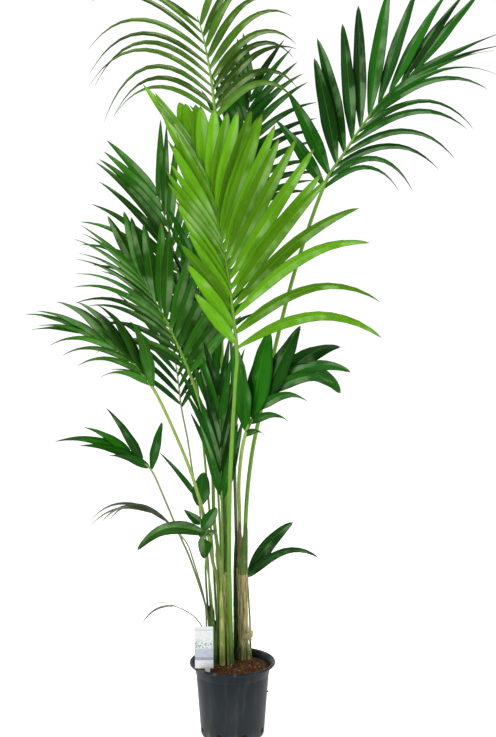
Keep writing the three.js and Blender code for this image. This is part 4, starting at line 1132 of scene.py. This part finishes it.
def nest(centre, reach, count, seed, finish):
    """Loose dry fibres in a small nest: arcs of random circles about its middle."""
    draws = np.stack([draw(seed + channel, np.arange(count)) for channel in range(11)], -1)
    size, start, sweep = draws[:, 0, None] + 0.5, draws[:, 1, None], draws[:, 2, None] + 0.5
    angle = (TAU * start + (1.5 + 3 * sweep) * np.linspace(0, 1, 9))[..., None]
    axis = unit(draws[:, 3:6])
    side = unit(np.cross(axis, np.array([0.2, 0.9, 0.4])))
    other = np.cross(axis, side)[:, None]
    middle = centre + 0.5 * reach * draws[:, 6:9] * [1, 1, 1.6]
    circles = side[:, None] * np.cos(angle) + other * np.sin(angle)
    lines = middle[:, None] + reach * (0.35 + 0.65 * size)[..., None] * circles
    return strands(lines, 0.55 + 0.3 * draws[:, 9], 0.9 + 0.6 * draws[:, 10], finish)


def trunk_parts(stem):
    """What only the trunk has: a husk and a green leaf base on its sheath, prop roots, a nest of fibres."""
    sheath = Route(SHEATH)
    return [tongue(sheath, 1.0, ([0], [11.6]), width=2.2, turn=4.0, flare=0.0, tone=0.2, finish="husk"),
            tongue(sheath, 0.97, ([0], [12.4]), width=3.0, turn=5.55, flare=0.0, tone=0.4,
                   finish="leaf_base"),
            *prop_roots(stem), nest(np.array(NEST_PLACE), NEST_REACH, NEST_FIBRES, 70, "trunk")]


def stem_parts(stem, seed):
    """The stem's body, the fibres on it and the leaf bases that are wrapped round it one above another."""
    route = Route(stem.route)
    parts = [stem_body(stem, seed),
             surface_strands(route, stem.radius, 0.15, 1.0, stem.fibres, 40 + seed, stem.finish, loose=5.0)]
    radius = ([0, 0.5, 1], np.add(stem.radius, 0.4))
    for index in range(stem.tongues):
        low = 0.15 + 0.16 * index
        high = min(0.995, low + 0.45 + 0.2 * draw(60 + seed, index))
        turn = GOLDEN_ANGLE * index + seed
        tone = 0.3 + draw(61 + seed, index)
        parts.append(tongue(route, high, radius, 3.4, turn, 1.5, tone, stem.finish, low))
    return parts + (trunk_parts(stem) if stem.name == "stem_right" else [])


# ---- fronds ----

Plan = namedtuple("Plan", "root start upper length width droop sky rib tone")


def turn_of(attempt):
    """Degrees added to spread and lift: a spiral that widens from none, as in the solids."""
    reach = TURN_REACH * np.sqrt(attempt)
    angle = GOLDEN_ANGLE * attempt
    return np.stack([reach * np.cos(angle), LIFT_REACH * reach * np.sin(angle)], -1)


def leaflet_ways(route, place, face, side, spread, lift):
    """The way in which each leaflet starts, and where its upper side looks: square to it and to the rib,
    tilted by TILT towards the frond's foot, and never down."""
    along, out, across = route.cross_frame(place, face)
    sine = np.sin(spread)[..., None]
    start = (along * np.cos(spread)[..., None] + across * sine * (side * np.cos(lift))[..., None]
             + out * sine * np.sin(lift)[..., None])
    upper = unit(np.cross(along, start) * (-side * np.sign(spread))[..., None])
    forward = unit(along - dot(along, start) * start)
    upper = upper * math.cos(math.radians(TILT)) - forward * math.sin(math.radians(TILT))
    return start, np.where(upper[..., 2:] < 0, -upper, upper)


def leaflet_plans(frond, route, collar, seed, turns, shift=0.0):
    """Where each leaflet of a frond starts, its way, its size and its bend, as arrays over the leaflets.

    Even leaflets stand on the right of the rib and odd ones on the left. Spread and lift, in degrees, turn
    the leaflet from the rib's way to across it and out of the blade; turns adds to both. shift moves all of
    them up the rib by that share of the space between two pairs.
    """
    k = np.arange(2 * frond.pairs)
    right = k % 2 == 0
    share = np.minimum(LAST_PLACE, (k // 2 + np.where(right, *PAIR_OFFSET) + shift) / frond.pairs)
    place = mix(collar, 1, share ** CROWD)

    def jitter(channel):
        return draw(seed, k + 100 * channel + 37 * shift)

    def between(field):
        return np.where(right, *(mix(*getattr(side, field), share) for side in (frond.right, frond.left)))

    spread = np.radians(between("spread") + 5 * jitter(1) + turns[..., 0])
    lift = np.radians(np.where(right, frond.right.lift, frond.left.lift) + 6 * jitter(2) + turns[..., 1])
    start, upper = leaflet_ways(route, place, unit(np.array(frond.face, float)), np.where(right, 1.0, -1.0),
                                spread, lift)
    fullness = 0.62 + 0.38 * np.sin(np.pi * np.clip(0.12 + 0.8 * share, 0, 1)) ** 0.8
    scale = fullness * (1 + 0.12 * jitter(3))
    breadth = np.where(right, *BREADTH.get(frond.name, (1, 1))) * (1 + 0.14 * jitter(4))
    droop = np.maximum(0, between("droop")) * scale * (1 + 0.5 * jitter(5))
    return Plan(route.point(place), start, upper, between("length") * scale, between("width") * breadth,
                droop, np.full(len(k), frond.sky), radius_at(frond.radius, collar, place), jitter(6))


def blade_way(plan, u):
    """Unit vector along the leaflet at share u of its length: its start, less droop u^1.7 upwards."""
    return unit(plan.start[..., None, :] - (plan.droop[..., None] * u ** 1.7)[..., None] * UP)


def centre_line(plan):
    """Points of the leaflets' middle lines: equal steps, each along the way at the step's middle."""
    way = blade_way(plan, (np.arange(STEPS) + 0.5) / STEPS)
    strides = np.cumsum(way, axis=-2) * (plan.length / STEPS)[..., None, None]
    start = np.broadcast_to(plan.root[..., None, :], strides[..., :1, :].shape)
    return np.concatenate([start, start + strides], axis=-2)


def fitted_turns(frond, route, collar, seed):
    """The turn of each leaflet in the solids: the first on the spiral whose tip is a corner of the CAD node.

    That is where its distance from the nearest corner is under TIP_GAP, or else the least on the spiral.
    """
    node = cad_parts[frond.name]
    corners = np.zeros(len(node.data.vertices) * 3, np.float32)
    node.data.vertices.foreach_get("co", corners)
    corners = corners.reshape(-1, 3) / MM
    spiral = turn_of(np.arange(TRIES))
    tips = centre_line(leaflet_plans(frond, route, collar, seed, spiral[:, None, :]))[..., -1, :]
    gaps = np.linalg.norm(tips[:, :, None] - corners, axis=-1).min(axis=-1)
    near = gaps < np.maximum(TIP_GAP, 1.001 * gaps.min(axis=0))
    return spiral[np.argmax(near, axis=0)]


def reached(frond, plan):
    """The plan with each leaflet's length times a factor, which runs from the first pair to the last."""
    k = np.arange(len(plan.length))
    share = (k // 2) / max(frond.pairs - 1, 1)
    first_right, last_right, first_left, last_left = REACH.get(frond.name, (1, 1, 1, 1))
    factor = np.where(k % 2 == 0, mix(first_right, last_right, share), mix(first_left, last_left, share))
    return plan._replace(length=plan.length * factor)


def outline(u, root, full, end, belly):
    """A leaflet's half width for W/2 at share u: (root + (1 - root) sin(min(1, u/full) 90 deg)) (1 - u)^end
    (1 + belly u)."""
    return mix(root, 1, np.sin(np.minimum(1, u / full) * np.pi / 2)) * (1 - u) ** end * (1 + belly * u)


def leaflet_skins(plan, settings, finish):
    """Folded blades: half width w by their outline, narrowed at the root to the rib, and at x across a height
    of fold w (1 - |x|^1.3), steeper at the root, with a faint ripple at the edges."""
    u = STATIONS / STEPS
    width = plan.width[:, None]
    half = 0.5 * width * np.where(width > BROAD, outline(u, *BROAD_OUTLINE), outline(u, *SLIM_OUTLINE))
    half[:, 0] = np.minimum(half[:, 0], 0.8 * plan.rib)
    way = blade_way(plan, u)
    upper = mix(plan.upper[:, None], UP, (plan.sky[:, None] * u)[..., None])
    upper = unit(upper - dot(upper, way) * way)
    across = np.cross(upper, way)
    ridge = np.maximum(LEAST_RIDGE, settings.fold * half) * (1 + 1.2 * np.clip(1 - u / 0.12, 0, 1))
    ripple = 0.05 * half[..., None] * np.abs(ACROSS) * np.sin(19 * u[:, None] + 40 * plan.tone[:, None, None])
    height = ridge[..., None] * (1 - np.abs(ACROSS) ** 1.3) + ripple - settings.thickness / MM * UNDERSIDE
    line = centre_line(plan)
    rings = (line[:, STATIONS, None] + across[:, :, None] * (half[..., None] * ACROSS)[..., None]
             + upper[:, :, None] * height[..., None])
    return skins(rings, line[:, 0], line[:, -1], np.concatenate([[0], u, [1]]), plan.tone + 0.3, finish,
                 around=(np.append(ACROSS, ACROSS[0]) + 1) / 2)


def stalk(frond, route, collar, finish):
    """The petiole and rib: a round section with a shallow channel on its face, wider just above the peat.

    Its tone grows with its height over the peat, up to half a metre.
    """
    face = unit(np.array(frond.face, float))
    shares = np.linspace(0, 1, int(route.length / STALK_GAP))
    radius = radius_at(frond.radius, collar, shares)
    above = route.point(shares)[:, 2] - SOIL_TOP
    if above[0] < 0:
        radius = radius * (1 + 0.45 * np.exp(-np.maximum(above, 0) / 26))

    def section(_, angle):
        off_channel = (angle - 0.75 * TAU) / 0.5
        return 1 - 0.24 * np.exp(-off_channel ** 2)

    return tube(route, shares, radius, face, 14, np.clip(above / 500, 0, 1), finish, section)


def bases(frond, route, collar):
    """The leaf bases wrapped round a petiole, with fibres on them."""
    parts = []
    for number, (name, top, off, turn, width, finish) in enumerate(BASES):
        if name == frond.name:
            radius = ([0, collar, 1], np.add(frond.radius, off))
            parts.append(tongue(route, top, radius, width, turn, 1.0, 0.3 + draw(80, number), finish))
            surface = [frond.radius[0] + off + 0.6] * 3
            parts.append(surface_strands(route, surface, 0.0, top, 16, 90 + number, finish, loose=4.0))
    return parts


def frond_parts(frond, seed, settings):
    """Petiole and rib, the solids' leaflets, on a full frond a second row between them, and leaf bases."""
    route = Route(frond.route)
    collar = route.share_of(frond.collar)
    turns = fitted_turns(frond, route, collar, seed)
    leaf = LEAF.get(frond.name, "leaf_dark")
    plan = reached(frond, leaflet_plans(frond, route, collar, seed, turns))
    parts = [stalk(frond, route, collar, STALK.get(frond.name, "stalk_green")),
             leaflet_skins(plan, settings, leaf)]
    if frond.name in FULL:
        after = np.concatenate([turns[2:], turns[-2:]])
        plan = reached(frond, leaflet_plans(frond, route, collar, seed, (turns + after) / 2, 0.5))
        plan = Plan(*(value[2 * FULL[frond.name]:] for value in plan))
        parts.append(leaflet_skins(plan, settings, leaf))
    return parts + bases(frond, route, collar)


# ---- stage ----

FLOOR_REACH = 30.0
# Each lamp's size, place and target in metres, and the camera's place to the right of the pot's middle.
KEY_LAMP = (2.0, (-2.2, -2.6, 3.0), (-0.1, 0, 1.0))
FILL_LAMP = (2.4, (2.8, -1.8, 1.6), (0, 0, 0.9))
CAMERA_SHIFT = 0.038


def make_stage(settings):
    """A pale floor, white surroundings, two soft lamps and the camera."""
    floor_mesh = bpy.data.meshes.new("floor")
    corners = [(x * FLOOR_REACH, y * FLOOR_REACH, 0) for x, y in ((-1, -1), (1, -1), (1, 1), (-1, 1))]
    floor_mesh.from_pydata(corners, [], [(0, 1, 2, 3)])
    floor = bpy.data.objects.new("floor", floor_mesh)
    bpy.context.scene.collection.objects.link(floor)
    make = Finish("pale floor")
    cloud = make.noise(make.place(), 0.8, 2.0)
    colour = make.mix(cloud, settings.floor, shade(settings.floor, 1.03))
    floor_mesh.materials.append(make.finish(colour, 0.8, 0.1, glow=settings.glow))

    bpy.context.scene.world = surroundings(settings)
    bpy.context.scene.view_settings.view_transform = "Standard"
    lamp("key", settings.key, *KEY_LAMP)
    lamp("fill", settings.fill, *FILL_LAMP)

    camera = bpy.data.cameras.new("camera")
    camera.lens = settings.lens / MM
    camera.clip_end = 100
    view = bpy.data.objects.new("camera", camera)
    view.location = (CAMERA_SHIFT, -settings.distance, settings.height)
    view.rotation_euler = (math.pi / 2, 0, 0)
    bpy.context.scene.collection.objects.link(view)
    bpy.context.scene.camera = view


def surroundings(settings):
    """White behind the palm and above it, and darker in front of it, where its leaves are mirrored."""
    world = bpy.data.worlds.new("white surroundings")
    world.use_nodes = True
    nodes, links = world.node_tree.nodes, world.node_tree.links
    way = nodes.new("ShaderNodeSeparateXYZ")
    links.new(nodes.new("ShaderNodeTexCoord").outputs["Generated"], way.inputs[0])
    depth = nodes.new("ShaderNodeMapRange")
    depth.interpolation_type = "SMOOTHSTEP"
    links.new(way.outputs[1], depth.inputs["Value"])
    for socket, value in (("From Min", -0.55), ("From Max", 0.3), ("To Min", settings.front),
                          ("To Max", settings.sky)):
        depth.inputs[socket].default_value = value
    links.new(depth.outputs["Result"], nodes["Background"].inputs["Strength"])
    nodes["Background"].inputs["Color"].default_value = (1, 1, 1, 1)
    return world


def lamp(name, power, size, place, target):
    """A square lamp of that size that faces the target."""
    light = bpy.data.lights.new(name, "AREA")
    light.energy = power
    light.size = size
    piece = bpy.data.objects.new(name, light)
    way = np.array(target) - np.array(place)
    level = math.hypot(way[0], way[1])
    piece.location = place
    piece.rotation_euler = (math.atan2(level, -way[2]), 0, math.atan2(way[1], way[0]) - math.pi / 2)
    bpy.context.scene.collection.objects.link(piece)


# ---- operators ----

class PALM_OT_pot(bpy.types.Operator):
    """Build the nursery pot with its rolled rim and drain holes"""
    bl_idname = "palm.build_pot"
    bl_label = "Build the pot"

    def execute(self, context):
        settings = context.scene.palm_pot
        make_piece("pot_moulding", [pot_part(settings.facets), pot_lug()],
                   {"plastic": pot_material(settings)}, "pot", crease=40)
        return {"FINISHED"}


class PALM_OT_soil(bpy.types.Operator):
    """Build the peat with its crumbs and chips"""
    bl_idname = "palm.build_soil"
    bl_label = "Build the soil"

    def execute(self, context):
        settings = context.scene.palm_soil
        make_piece("peat", soil_parts(settings), {"peat": soil_material(settings), "chip": chip_material()},
                   "soil", crease=70)
        return {"FINISHED"}


class PALM_OT_label(bpy.types.Operator):
    """Build the plant label"""
    bl_idname = "palm.build_label"
    bl_label = "Build the label"

    def execute(self, context):
        settings = context.scene.palm_label
        make_piece("label_plate", [label_part(settings)], {"label": label_material(settings)},
                   "label", crease=35)
        return {"FINISHED"}


class PALM_OT_stems(bpy.types.Operator):
    """Build the four stems with their leaf bases, fibres and prop roots"""
    bl_idname = "palm.build_stems"
    bl_label = "Build the stems"

    def execute(self, context):
        materials = stem_materials(context.scene.palm_stems)
        for seed, stem in enumerate(STEMS):
            make_piece(stem.name + "_bark", stem_parts(stem, seed), materials, stem.name)
        return {"FINISHED"}


class PALM_OT_fronds(bpy.types.Operator):
    """Build every frond: petiole, rib and folded leaflets"""
    bl_idname = "palm.build_fronds"
    bl_label = "Build the fronds"

    def execute(self, context):
        settings = context.scene.palm_foliage
        materials = foliage_materials(settings)
        for number, frond in enumerate(FRONDS, start=1):
            make_piece(frond.name + "_blade", frond_parts(frond, number, settings), materials,
                       frond.name)
        return {"FINISHED"}


class PALM_OT_stage(bpy.types.Operator):
    """Set up the floor, the light and the camera"""
    bl_idname = "palm.build_stage"
    bl_label = "Set up the stage"

    def execute(self, context):
        make_stage(context.scene.palm_stage)
        return {"FINISHED"}


class PALM_PT_panel(bpy.types.Panel):
    """Builds the palm and holds its sizes and colours"""
    bl_idname = "PALM_PT_panel"
    bl_label = "Potted palm"
    bl_space_type = "VIEW_3D"
    bl_region_type = "UI"
    bl_category = "Palm"

    def draw(self, context):
        for operator, group in STEPS_IN_ORDER:
            box = self.layout.box()
            box.operator(operator.bl_idname)
            settings = getattr(context.scene, group)
            for name in settings.__annotations__:
                box.prop(settings, name)


STEPS_IN_ORDER = ((PALM_OT_stage, "palm_stage"), (PALM_OT_pot, "palm_pot"), (PALM_OT_soil, "palm_soil"),
                  (PALM_OT_label, "palm_label"), (PALM_OT_stems, "palm_stems"),
                  (PALM_OT_fronds, "palm_foliage"))
GROUPS = {"palm_stage": PalmStageSettings, "palm_pot": PalmPotSettings, "palm_soil": PalmSoilSettings,
          "palm_label": PalmLabelSettings, "palm_stems": PalmStemSettings,
          "palm_foliage": PalmFoliageSettings}


def register():
    for name, group in GROUPS.items():
        bpy.utils.register_class(group)
        setattr(bpy.types.Scene, name, PointerProperty(type=group))
    for operator, _ in STEPS_IN_ORDER:
        bpy.utils.register_class(operator)
    bpy.utils.register_class(PALM_PT_panel)


def unregister():
    bpy.utils.unregister_class(PALM_PT_panel)
    for operator, _ in STEPS_IN_ORDER:
        bpy.utils.unregister_class(operator)
    for name, group in GROUPS.items():
        delattr(bpy.types.Scene, name)
        bpy.utils.unregister_class(group)


def main():
    register()
    bpy.ops.palm.build_stage()
    bpy.ops.palm.build_pot()
    bpy.ops.palm.build_soil()
    bpy.ops.palm.build_label()
    bpy.ops.palm.build_stems()
    bpy.ops.palm.build_fronds()


if __name__ == "__main__":
    main()
